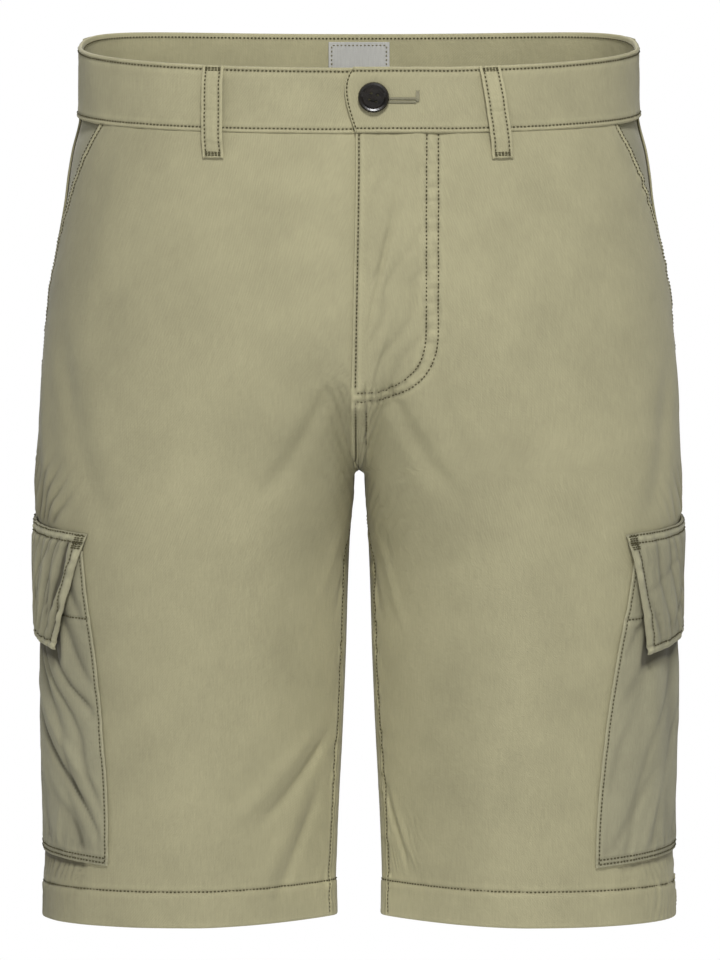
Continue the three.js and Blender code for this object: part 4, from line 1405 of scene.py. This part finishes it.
def pocket_puff(a, b):
    a, b = clamp(a, 0, 1), clamp(b, 0, 1)
    pressed = 1 - PRESSED.share * ease(*PRESSED.b, b)  # under the flap
    return CARGO.puff * pressed * np.sin(math.pi * a) ** 0.6 * np.sin(math.pi * b) ** 0.7


# Folds of the pockets and flaps: place across and up from 0 to 1, half length, lean, half width, height
PATCH_FOLD_NAMES = ("a", "b", "half", "lean", "wide", "high")
POCKET_FOLDS = {
    1: [
        [0.12, 0.62, 0.1, -1.2, 0.03, -1.0],
        [0.2, 0.5, 0.16, 0.5, 0.04, 1.2],
        [0.3, 0.6, 0.22, 0.3, 0.035, -1.3],
        [0.42, 0.4, 0.3, 0.1, 0.045, 1.1],
        [0.62, 0.6, 0.3, -0.3, 0.05, -1.3],
        [0.8, 0.4, 0.26, 0.4, 0.045, 1.1],
        [0.14, 0.16, 0.13, -1.4, 0.022, -1.1],
        [0.24, 0.14, 0.12, -0.8, 0.025, 1.0],
        [0.34, 0.12, 0.1, 0.3, 0.02, -0.8],
        [0.7, 0.14, 0.12, 0.3, 0.03, -0.9],
    ],
    -1: [
        [0.3, 0.37, 0.17, -2.3, 0.02, -2.6],
        [0.25, 0.42, 0.16, -2.3, 0.035, 1.8],
        [0.38, 0.32, 0.14, -2.2, 0.045, 1.3],
        [0.33, 0.63, 0.12, -0.9, 0.03, -1.2],
        [0.16, 0.66, 0.1, 0.6, 0.03, 0.9],
        [0.46, 0.5, 0.24, -0.3, 0.04, -1.2],
        [0.58, 0.4, 0.3, -0.1, 0.05, 1.2],
        [0.8, 0.5, 0.3, 0.4, 0.05, -1.2],
        [0.14, 0.12, 0.1, -0.8, 0.02, -0.9],
        [0.24, 0.1, 0.09, 0.3, 0.022, 0.9],
        [0.34, 0.12, 0.1, -0.4, 0.022, -0.9],
        [0.72, 0.14, 0.12, 0.3, 0.03, -0.9],
    ],
}
FLAP_FOLDS = {
    1: [
        [0.13, 0.62, 0.16, -1.6, 0.03, -0.8],
        [0.2, 0.5, 0.3, -0.3, 0.04, 1.1],
        [0.3, 0.45, 0.3, -0.9, 0.032, -1.3],
        [0.38, 0.6, 0.3, -0.4, 0.035, 1.2],
        [0.49, 0.5, 0.4, 0.2, 0.035, -1.3],
        [0.6, 0.45, 0.4, -0.1, 0.04, 1.2],
        [0.72, 0.5, 0.4, 0.3, 0.035, -1.3],
        [0.86, 0.5, 0.35, -0.2, 0.035, 1.0],
    ],
    -1: [
        [0.11, 0.5, 0.34, -0.25, 0.02, -1.3],
        [0.155, 0.5, 0.36, -0.1, 0.022, 1.5],
        [0.2, 0.55, 0.34, -0.2, 0.018, -1.6],
        [0.25, 0.4, 0.32, 0.15, 0.024, 1.4],
        [0.3, 0.5, 0.36, -0.3, 0.018, -1.6],
        [0.36, 0.5, 0.36, 0.1, 0.028, 1.5],
        [0.43, 0.5, 0.4, 0.2, 0.022, -1.5],
        [0.52, 0.5, 0.4, -0.2, 0.03, 1.3],
        [0.62, 0.4, 0.4, 0.15, 0.025, -1.4],
        [0.73, 0.5, 0.4, -0.1, 0.03, 1.3],
        [0.85, 0.5, 0.36, 0.1, 0.025, -1.2],
    ],
}


def patch_folds(rows, a, b):
    total = np.zeros(a.shape)
    for row in rows:
        fold = dict(zip(PATCH_FOLD_NAMES, row))
        down = fold["b"] - b
        across = (a - fold["a"]) - fold["lean"] * down * 0.5
        total += fold["high"] * np.exp(-((across / fold["wide"]) ** 2) - (down / fold["half"]) ** 4)
    return total


POCKET = SimpleNamespace(wide=174.0, tall=190.0, inset=1.9, low_inset=4.6, mouth=0.785)
POCKET_WRINKLES = {
    1: SimpleNamespace(size=(20.0, 60.0), lean=0.3, swell=0.9, crease=0.9, dark=0.9, pale=0.5),
    -1: SimpleNamespace(size=(15.0, 70.0), lean=0.5, swell=1.4, crease=1.8, dark=2.3, pale=0.0),
}
POCKET_TAUT = 0.55
POCKET_UNDER_FLAP = SimpleNamespace(b=(0.68, 0.76), most=0.25)
POCKET_DEEPEST = -0.75
POCKET_GATHERS = SimpleNamespace(size=(5.5, 16.0), swell=0.5, crease=0.6, middle=9.0, tall=8.0)
FLAP_SHADE = SimpleNamespace(long=14.0, dark=5.4, beside=(-3.0, 1.5), front=(5.0, 45.0), back_share=0.4)


def flap_shade(side, a, b):
    """How far the flap's free edge keeps the light from the pocket just below it."""
    arc, z = pocket_arc(side, a, b)
    below = FLAP.bottom - np.where(arc > 0, FLAP.bottom_slope, CARGO.slope) * arc - z
    share = mix(FLAP_SHADE.back_share, 1.0, ease(*FLAP_SHADE.front, arc))
    beside = ease(*FLAP_SHADE.beside, CARGO_FRONT[side].flap_tip - arc)
    return share * ease(FLAP_SHADE.long, 0.0, below) * beside


def pocket_relief(side, a, b):
    seed = 81 if side > 0 else 87
    front, back = a * POCKET.wide, (1 - a) * POCKET.wide
    low, high = b * POCKET.tall, (1 - b) * POCKET.tall
    inner = np.minimum(np.minimum(front, back), low)
    free = ease(2.0, 12.0, inner) * ease(0.0, 16.0, high)
    way = POCKET_WRINKLES[side]
    bump, dark = wrinkles(front + way.lean * high, high, way.size, seed + 24, way.swell, way.crease)
    folds = patch_folds(POCKET_FOLDS[side], a, b)
    taut = 1 - POCKET_TAUT * bell((a - 0.46) / 0.16)
    relief = free * taut * (folds + bump + 0.3 * noise(front / 19, low / 24, seed))
    relief += free * 0.15 * noise(front / 7, low / 9, seed + 1)
    # Painted shade darkens the wrinkles' creases and the folds' troughs; pale adds painted light to the whole
    # of the left leg's pocket.
    wear_and_shading = way.pale + free * (way.dark * dark + 1.1 * np.minimum(folds, 0.3))
    way = POCKET_GATHERS
    gathers = bell((low - way.middle) / way.tall) * ease(2.0, 8.0, np.minimum(front, back))
    bump, dark = wrinkles(front, low, way.size, seed + 12, way.swell, way.crease)
    relief, wear_and_shading = relief + gathers * bump, wear_and_shading + gathers * dark
    for k, (distance, along) in enumerate(((front, low), (back, low))):
        relief += 0.5 * sewn_relief(np.abs(distance - POCKET.inset), along, seed + 3 + k, 1.2)
        wear_and_shading += 0.5 * sewn_wear_and_shade(np.abs(distance - POCKET.inset)) + 1.0 * bell((distance - 0.8) / 1.3)
    # Painted shade along the pocket's two lower rows of stitches.
    for k, inset in enumerate((POCKET.inset, POCKET.low_inset)):
        relief += sewn_relief(np.abs(low - inset), front, seed + 5 + k, 0.9)
        wear_and_shading += sewn_wear_and_shade(np.abs(low - inset)) - 0.6 * bell((low - inset) / 1.5)
    mouth = np.abs(b - POCKET.mouth) * POCKET.tall
    relief += sewn_relief(mouth, front, seed + 8, 1.2)
    wear_and_shading += sewn_wear_and_shade(mouth)
    most = mix(9.0, POCKET_UNDER_FLAP.most, ease(*POCKET_UNDER_FLAP.b, b))
    return np.minimum(relief, most), wear_and_shading - FLAP_SHADE.dark * flap_shade(side, a, b)


def make_pocket(side):
    word = SIDE_WORDS[side]
    inset = EDGE + (2.2, 2.8, 3.4, 4.2, 5.4)
    columns = marks(POCKET.wide, 1.7, inset, inset) / POCKET.wide
    rows = marks(POCKET.tall, 1.7, inset, EDGE) / POCKET.tall
    a, b = np.meshgrid(columns, rows)
    around, z = pocket_place(side, a, b)
    patch = Patch(side, around, z)
    relief, wear_and_shading = pocket_relief(side, a, b)
    distances = (a * POCKET.wide, (1 - a) * POCKET.wide, b * POCKET.tall, (1 - b) * POCKET.tall)
    edge = np.prod([rounded(d, 0.9) for d in distances], axis=0)
    half = CLOTH / 2
    middle = LAID_GAP + half + pocket_puff(a, b) + np.maximum(relief, POCKET_DEEPEST - pocket_puff(a, b))
    outer, inner = patch.lifted(middle + half * edge), patch.lifted(middle - half * edge)
    obj = build_shell("cloth_cargo_pocket_" + word, outer, inner, arc_lengths(outer), wear_and_shading, shaded_side_cloth, side)
    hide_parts("cargo_pocket_" + word)

    def run(a_run, b_run):
        spot = Patch(side, *pocket_place(side, a_run, b_run))
        puff = pocket_puff(a_run, b_run)
        bump = np.maximum(pocket_relief(side, a_run, b_run)[0], POCKET_DEEPEST - puff)
        lift = LAID_GAP + CLOTH + puff + bump
        sew("stitches_cargo", spot.lifted(lift + STITCH.proud), spot.outward())

    inset_a, inset_b = POCKET.inset / POCKET.wide, POCKET.inset / POCKET.tall
    up = np.linspace(inset_b, 0.985, 120)
    over = np.linspace(inset_a, 1 - inset_a, 110)
    run(np.full_like(up, inset_a), up)
    run(np.full_like(up, 1 - inset_a), up)
    for inset in (POCKET.inset, POCKET.low_inset):
        run(over, np.full_like(over, inset / POCKET.tall))
    run(over, np.full_like(over, POCKET.mouth))
    return obj


FLAP_SIZE = SimpleNamespace(wide=168.0, tall=72.0, inset=5.0, strip=(0.9, 5.4), roll=0.8, top_roll=0.35)
FLAP_WRINKLES = {
    1: SimpleNamespace(
        size=(10.0, 64.0), lean=-0.1, swell=1.1, crease=1.1, dark=1.3, fine=0.6, lip=1.0, ribs=1.1,
    ),
    -1: SimpleNamespace(
        size=(6.4, 58.0), lean=-0.12, swell=3.0, crease=3.4, dark=4.4, fine=1.2, lip=1.6, ribs=1.7,
    ),
}
FLAP_FINE = SimpleNamespace(size=(3.4, 26.0), swell=0.5, crease=0.8, dark=0.4)
FLAP_LIMITS = SimpleNamespace(
    outer=-1.9, inner=-0.5, rise=0.8, side_most=0.1, side_wide=0.3, side_drop=1.3, tip=1.6,
)
FLAP_RIB = SimpleNamespace(apart=2.9, uneven=0.6, lip=2.2)


def flap_under(a, b):
    """How far the flap stands off: most along its free edge, less round the side of the leg."""
    least = FLAP_LIMITS.side_drop * ease(0.0, 0.5, 1 - b) * bell((a - 0.5) / FLAP_LIMITS.side_wide)
    tip = FLAP_LIMITS.tip * ease(0.32, 0.0, a) * ease(0.7, 0.0, b)
    return mix(FLAP.under_low, FLAP.under_top, clamp(b, 0, 1) ** FLAP.under_curve) - least + tip


def flap_relief(side, a, b):
    seed = 101 if side > 0 else 107
    front, back = a * FLAP_SIZE.wide, (1 - a) * FLAP_SIZE.wide
    low, high = b * FLAP_SIZE.tall, (1 - b) * FLAP_SIZE.tall
    strip = FLAP_SIZE.strip[1]
    free = ease(strip, strip + 7.0, high)
    inside = ease(strip - 1.0, strip + 3.0, high) * ease(2.0, 8.0, np.minimum(np.minimum(front, back), low))
    way = FLAP_WRINKLES[side]
    bump, dark = wrinkles(front + way.lean * high, high, way.size, seed + 36, way.swell, way.crease)
    fine_bump, fine_dark = wrinkles(front, high, FLAP_FINE.size, seed + 40, FLAP_FINE.swell, FLAP_FINE.crease)
    bump, dark = bump + way.fine * fine_bump, dark + way.fine * FLAP_FINE.dark * fine_dark
    folds = patch_folds(FLAP_FOLDS[side], a, b)
    most = mix(4.0, FLAP_LIMITS.side_most, bell((a - 0.5) / FLAP_LIMITS.side_wide))
    relief = np.minimum(folds + bump + FLAP_LIMITS.rise, most) * mix(0.12, 1.0, inside)
    # Painted shade in the creases and the folds' troughs.
    wear_and_shading = inside * (way.dark * dark + 0.6 * np.minimum(folds, 0.4))
    ribs = noise(front / FLAP_RIB.apart, 0.5 + high / 30, seed + 30)
    relief += edge_roll(high, FLAP_SIZE.top_roll * (1 + FLAP_RIB.uneven * ribs), strip)
    wear_and_shading += (way.lip + way.ribs * ribs) * bell((high - strip / 2) / FLAP_RIB.lip)
    for k, (distance, along) in enumerate(((front, low), (back, low), (low, front))):
        ribs = noise(along / FLAP_RIB.apart, 0.5 + distance / 30, seed + 31 + k)
        relief += sewn_relief(np.abs(distance - FLAP_SIZE.inset), along, seed + 2 + k) * free
        relief += edge_roll(distance, FLAP_SIZE.roll * (1 + FLAP_RIB.uneven * ribs), FLAP_SIZE.inset) * free
        lip = (way.lip + way.ribs * ribs) * bell((distance - 2.0) / FLAP_RIB.lip)
        wear_and_shading += (sewn_wear_and_shade(np.abs(distance - FLAP_SIZE.inset)) + lip) * free
    for k, offset in enumerate(FLAP_SIZE.strip):
        relief += sewn_relief(np.abs(high - offset), front, seed + 6 + k, 0.9)
        wear_and_shading += sewn_wear_and_shade(np.abs(high - offset))
    return relief, wear_and_shading


FLAP_TACK = SimpleNamespace(first=1.4, apart=1.2, rows=7, across=(0.6, 6.4), long=2.0, pitch=2.1, thick=0.7)


def make_flap(side):
    word = SIDE_WORDS[side]
    inset = EDGE + (2.2, 3.0, 3.9, 4.6, 5.2, 5.9, 6.8)
    columns = marks(FLAP_SIZE.wide, 1.15, inset, inset) / FLAP_SIZE.wide
    rows = marks(FLAP_SIZE.tall, 1.4, inset, EDGE + (2.4, 3.4, 4.6, 5.6, 6.4, 7.2)) / FLAP_SIZE.tall
    a, b = np.meshgrid(columns, rows)
    around, z = flap_place(side, a, b)
    patch = Patch(side, around, z)
    relief, wear_and_shading = flap_relief(side, a, b)
    distances = (
        a * FLAP_SIZE.wide, (1 - a) * FLAP_SIZE.wide, b * FLAP_SIZE.tall, (1 - b) * FLAP_SIZE.tall,
    )
    edge = np.prod([rounded(d, 1.0) for d in distances], axis=0)
    half = FLAP.thick / 2
    middle = LAID_GAP + half + flap_under(a, b)
    outer = patch.lifted(middle + np.maximum(relief, FLAP_LIMITS.outer) + half * edge)
    inner = patch.lifted(middle + clamp(relief, FLAP_LIMITS.inner, 1.0) - half * edge)
    obj = build_shell("cloth_cargo_flap_" + word, outer, inner, arc_lengths(outer), wear_and_shading, shaded_side_cloth, side)
    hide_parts("cargo_flap_" + word)

    def run(a_run, b_run, **how):
        spot = Patch(side, *flap_place(side, a_run, b_run))
        bump = np.maximum(flap_relief(side, a_run, b_run)[0], FLAP_LIMITS.outer)
        lift = LAID_GAP + FLAP.thick + flap_under(a_run, b_run) + bump
        sew("stitches_cargo", spot.lifted(lift + STITCH.proud), spot.outward(), **how)

    inset_a, inset_b = FLAP_SIZE.inset / FLAP_SIZE.wide, FLAP_SIZE.inset / FLAP_SIZE.tall
    top = 1 - FLAP_SIZE.strip[1] / FLAP_SIZE.tall
    up = np.linspace(inset_b, top, 60)
    over = np.linspace(inset_a, 1 - inset_a, 110)
    run(np.full_like(up, inset_a), up)
    run(np.full_like(up, 1 - inset_a), up)
    run(over, np.full_like(over, inset_b))
    wide = np.linspace(0.01, 0.99, 120)
    for offset in FLAP_SIZE.strip:
        run(wide, np.full_like(wide, 1 - offset / FLAP_SIZE.tall))
    tack = FLAP_TACK
    short = np.linspace(*tack.across, 10) / FLAP_SIZE.wide
    for k in range(tack.rows):
        level = np.full_like(short, 1 - (tack.first + tack.apart * k) / FLAP_SIZE.tall)
        run(short, level, long=tack.long, pitch=tack.pitch, thick=tack.thick)
    return obj


# Belt loops
def loop_place(kind, top_at, bottom_at, a, b):
    offset = mix(-LOOP.wide / 2, LOOP.wide / 2, a)
    middle = mix(bottom_at, top_at, b)

    def find(z):
        if kind == "front":
            return around_at_x(middle + offset, z)
        if kind == "side":
            return around_at_arc(-(middle + offset), z)
        return 1 - around_at_x(middle - offset, z)

    around = find(np.zeros_like(a))
    z = mix(band_bottom(around) - LOOP.below, band_top(around) - 0.3, b)
    return find(z), z


def loop_lift(b):
    seat = LOOP.seat + WAISTBAND.proud * ease(0.08, 0.2, b)
    return seat + LOOP.bow * np.sin(math.pi * clamp(b, 0, 1)) ** 0.7


LOOP_INSET = 2.2
LOOP_TACKS = (0.045, 0.955)
LOOP_TACK = SimpleNamespace(rows=3, apart=0.016, long=1.9, pitch=2.0, thick=0.6)
# Creases across a loop: place up from 0 to 1, tilt and depth
LOOP_CREASES = ((0.5, 0.03, 0.35), (0.42, -0.06, 0.28), (0.27, 0.04, 0.25), (0.74, -0.04, 0.22))


def loop_relief(a, b, seed):
    across, up = a * LOOP.wide, b * LOOP.tall
    relief = 0.2 * noise(across / 7, up / 9, seed)
    wear_and_shading = np.zeros(a.shape)
    for k, offset in enumerate((LOOP_INSET, LOOP.wide - LOOP_INSET)):
        relief += 0.7 * sewn_relief(np.abs(across - offset), up, seed + k, 0.8)
        wear_and_shading += sewn_wear_and_shade(np.abs(across - offset))
    for distance in (across, LOOP.wide - across):
        wear_and_shading += 0.7 * bell((distance - 0.9) / 0.9)
    for level in LOOP_TACKS:
        relief += -0.45 * bell((b - level) / 0.03)
    for level, tilt, deep in LOOP_CREASES:
        relief += -deep * bell((b - level - tilt * (a - 0.5)) / 0.018)
    return relief, wear_and_shading


def make_loop(name, side, kind, top_at, bottom_at):
    seed = 120 + len(name) + (side > 0) * 3
    columns = marks(LOOP.wide, 0.8, EDGE + (2.0, 2.5), EDGE + (2.0, 2.5)) / LOOP.wide
    rows = marks(LOOP.tall, 1.0, EDGE, EDGE) / LOOP.tall
    a, b = np.meshgrid(columns, rows)
    around, z = loop_place(kind, top_at, bottom_at, a, b)
    patch = Patch(side, around, z)
    relief, wear_and_shading = loop_relief(a, b, seed)
    half = LOOP.thick / 2
    distances = (a * LOOP.wide, (1 - a) * LOOP.wide, b * LOOP.tall, (1 - b) * LOOP.tall)
    edge = np.prod([rounded(d, LOOP.edge) for d in distances], axis=0)
    middle = loop_lift(b) + half
    outer = patch.lifted(middle + relief + half * edge)
    inner = patch.lifted(middle + 0.3 * relief - half * edge)
    obj = build_shell("cloth_" + name, outer, inner, arc_lengths(outer), wear_and_shading, cloth, side)
    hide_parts(name)

    def run(a_run, b_run, **how):
        spot = Patch(side, *loop_place(kind, top_at, bottom_at, a_run, b_run))
        bump = loop_relief(a_run, b_run, seed)[0]
        sew("stitches_loops", spot.lifted(loop_lift(b_run) + LOOP.thick + bump + 0.03), spot.outward(), **how)

    up = np.linspace(0.02, 0.98, 60)
    for offset in (LOOP_INSET, LOOP.wide - LOOP_INSET):
        run(np.full_like(up, offset / LOOP.wide), up)
    tack = LOOP_TACK
    over = np.linspace(0.12, 0.88, 12)
    for level in LOOP_TACKS:
        for k in range(tack.rows):
            row = np.full_like(over, level + (k - 1) * tack.apart)
            run(over, row, long=tack.long, pitch=tack.pitch, thick=tack.thick)
    return obj


def make_label():
    near_edge = (0.0, 0.01)
    a, b = np.meshgrid(marks(1.0, 0.03, near_edge, near_edge), marks(1.0, 0.04, near_edge, near_edge))
    top = float(band_top(np.array([1.0]))[0]) - LABEL.below

    def place(a, b):
        x = mix(LABEL.wide / 2, -LABEL.wide / 2, a)
        z = top - LABEL.tall * (1 - b)
        return 1 - around_at_x(x, z), z

    around, z = place(a, b)
    patch = Patch(1, around, z)
    back = WAISTBAND.proud - WAISTBAND.thick - LABEL.gap
    edge = np.minimum(np.minimum(a, 1 - a) * LABEL.wide, np.minimum(b, 1 - b) * LABEL.tall)
    dip = 0.15 * bell((edge - LABEL.inset) / 0.6)
    # Paler worn edge round the label, and painted shade along its stitch line.
    wear_and_shading = 0.6 * bell(edge / 0.8) - 0.5 * bell((edge - LABEL.inset) / 0.5)
    outer = patch.lifted(np.full(around.shape, back))
    inner = patch.lifted(back - LABEL.thick + dip)
    obj = build_shell("cloth_label", outer, inner, arc_lengths(inner), wear_and_shading, label_cloth, 1)
    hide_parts("label_back")
    da, db = LABEL.inset / LABEL.wide, LABEL.inset / LABEL.tall
    corners = [(da, db), (1 - da, db), (1 - da, 1 - db), (da, 1 - db), (da, db)]
    for (a0, b0), (a1, b1) in zip(corners[:-1], corners[1:]):
        t = np.linspace(0, 1, 20)
        spot = Patch(1, *place(mix(a0, a1, t), mix(b0, b1, t)))
        sew("stitches_label", spot.lifted(np.full(20, back - LABEL.thick + 0.1)), -spot.outward())
    return obj


# The button is the CAD node with a better material; its thread is laid here.
def button_frame():
    around = float(around_at_x(np.array([BUTTON.x]), np.array([BUTTON.z]))[0])
    spot = Patch(1, np.array([around]), np.array([BUTTON.z]))
    lift = WAISTBAND.proud + WAISTBAND.thick + TAB.gap + BUTTON.off
    return spot.lifted(np.array([lift]))[0], spot.outward()[0]


def dress_button():
    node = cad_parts["button"]
    node.data.materials.clear()
    node.data.materials.append(button_plastic)
    centre, normal = button_frame()
    right = np.cross([0, 0, 1.0], normal)
    right = -right / np.linalg.norm(right)
    if right[0] < 0:
        right = -right
    up = np.cross(normal, right)
    if up[2] < 0:
        up = -up
    off = BUTTON.hole_offset
    low_left, low_right, high_left, high_right = (-off, -off), (off, -off), (-off, off), (off, off)
    top = centre + normal * (BUTTON.thick - BUTTON.dish + 0.15)
    normals = np.repeat(normal[None], 6, axis=0)
    t = np.linspace(0, 1, 6)[:, None]
    bars = ((low_left, low_right), (high_left, high_right), (low_left, high_left), (low_right, high_right))
    for (x0, z0), (x1, z1) in bars:
        base = top + right * mix(x0, x1, t) + up * mix(z0, z1, t)
        sew("stitches_button", base, normals, long=2 * off + 0.5, pitch=2 * off, thick=0.9)


def buttonhole():
    """Close zigzag threads round the slit to the right of the button, with a bar at its end."""
    hole, bar = BUTTONHOLE, BUTTONHOLE_BAR

    def run(xs, zs, **how):
        around = around_at_x(xs, zs)
        spot = Patch(1, around, zs)
        lift = WAISTBAND.proud + band_lift(1, around)
        sew("stitches_buttonhole", spot.lifted(lift + hole.proud), spot.outward(), **how)

    for x in np.arange(hole.start, hole.end, hole.step):
        for sign in (-1, 1):
            zs = hole.z + sign * np.linspace(hole.slit, hole.half, 4)
            run(np.full(4, x), zs, long=1.9, pitch=1.8, thick=0.64)
    for k in np.arange(0, bar.wide, bar.step):
        zs = np.linspace(hole.z - bar.below, hole.z + bar.above, 6)
        run(np.full(6, hole.end + k), zs, long=7.6, pitch=7.9, thick=0.6)


# The cut of each sheet that shows: width, length and area, in metres and square metres
CUTS = {
    "front": (0.31, 0.49, 0.122),
    "back": (0.35, 0.5, 0.142),
    "facing": (0.075, 0.16, 0.006),
    "band": (0.041, 0.47, None),
    "pocket": (0.172, 0.191, None),
    "flap": (0.165, 0.068, None),
    "loop": (0.0125, 0.058, None),
    "label": (0.039, 0.03, None),
}


def declare(piece, kind):
    wide, long, area = CUTS[kind]


pieces = {}
for side, word in SIDE_WORDS.items():
    pieces["front_" + word] = make_front(side)
    pieces["back_" + word] = make_back(side)
    pieces["facing_" + word] = make_facing(side)
    pieces["band_" + word] = make_band(side)
    pieces["pocket_" + word] = make_pocket(side)
    pieces["flap_" + word] = make_flap(side)
for loop in LOOPS:
    pieces[loop[0]] = make_loop(*loop)
pieces["label"] = make_label()
for name, piece in pieces.items():
    kind = "loop" if name.startswith("belt_loop") else name.split("_")[0]
    declare(piece, kind)
dress_button()
buttonhole()
THREADS = {"stitches_button": black_thread, "stitches_buttonhole": pale_thread, "stitches_label": pale_thread}
for group in sorted(stitch_runs):
    build_stitches(group, THREADS.get(group, thread))


# Stage, light and camera
def plane(name, size, z, colour):
    mesh = bpy.data.meshes.new(name)
    s = size / 2
    mesh.from_pydata([(-s, -s, z), (s, -s, z), (s, s, z), (-s, s, z)], [], [(0, 1, 2, 3)])
    obj = add_object(name, mesh)
    material, _, _, shader = node_material(name)
    shader.inputs["Base Color"].default_value = (*colour, 1)
    shader.inputs["Roughness"].default_value = 0.9
    mesh.materials.append(material)
    return obj


def studio_world(world):
    """A white studio wall all round at eye level, dimmer above and below it."""
    nodes, links = world.node_tree.nodes, world.node_tree.links
    background = nodes["Background"]
    split = nodes.new("ShaderNodeSeparateXYZ")
    links.new(nodes.new("ShaderNodeTexCoord").outputs["Generated"], split.inputs["Vector"])
    height = nodes.new("ShaderNodeMath")
    height.operation = "ABSOLUTE"
    links.new(split.outputs["Z"], height.inputs[0])
    tone = ramp(nodes, (1.0, 1.0, 1.0), (WALL.dim, WALL.dim, WALL.dim), WALL.edge, WALL.edge + WALL.fade)
    links.new(height.outputs[0], tone.inputs["Fac"])
    links.new(tone.outputs["Color"], background.inputs["Color"])
    background.inputs["Strength"].default_value = 1.0


def area_light(name, place, target, size, power):
    data = bpy.data.lights.new(name, "AREA")
    data.shape, data.size, data.energy = "DISK", size, power
    obj = add_object(name, data)
    obj.location = place
    obj.rotation_euler = (Vector(target) - Vector(place)).to_track_quat("-Z", "Y").to_euler()
    return obj


MIDDLE = (0.0, 0.0, -0.247)
WALL = SimpleNamespace(dim=0.11, edge=0.135, fade=0.06)
plane("floor", 6.0, -1.15, (0.9, 0.9, 0.89))
world = bpy.data.worlds.new("studio")
bpy.context.scene.world = world
world.use_nodes = True
studio_world(world)
area_light("key", (0.15, -2.0, 1.85), MIDDLE, 0.6, 56)
area_light("fill", (-0.4, -2.7, -0.8), MIDDLE, 1.3, 10)
area_light("back", (-0.5, 2.3, 1.5), MIDDLE, 0.9, 44)

camera_data = bpy.data.cameras.new("camera")
camera = add_object("camera", camera_data)
bpy.context.scene.camera = camera
VIEW = SimpleNamespace(distance=2.9, height=-0.168, frame_tall=0.591, sensor=36.0, x=0.0006, target_z=-0.2468)
camera_data.sensor_width = VIEW.sensor
camera_data.lens = VIEW.sensor * VIEW.distance / VIEW.frame_tall
camera.location = (VIEW.x, -VIEW.distance, VIEW.height)
target = Vector((VIEW.x, 0.0, VIEW.target_z))
camera.rotation_euler = (target - camera.location).to_track_quat("-Z", "Y").to_euler()
bpy.context.scene.view_settings.view_transform = "Standard"
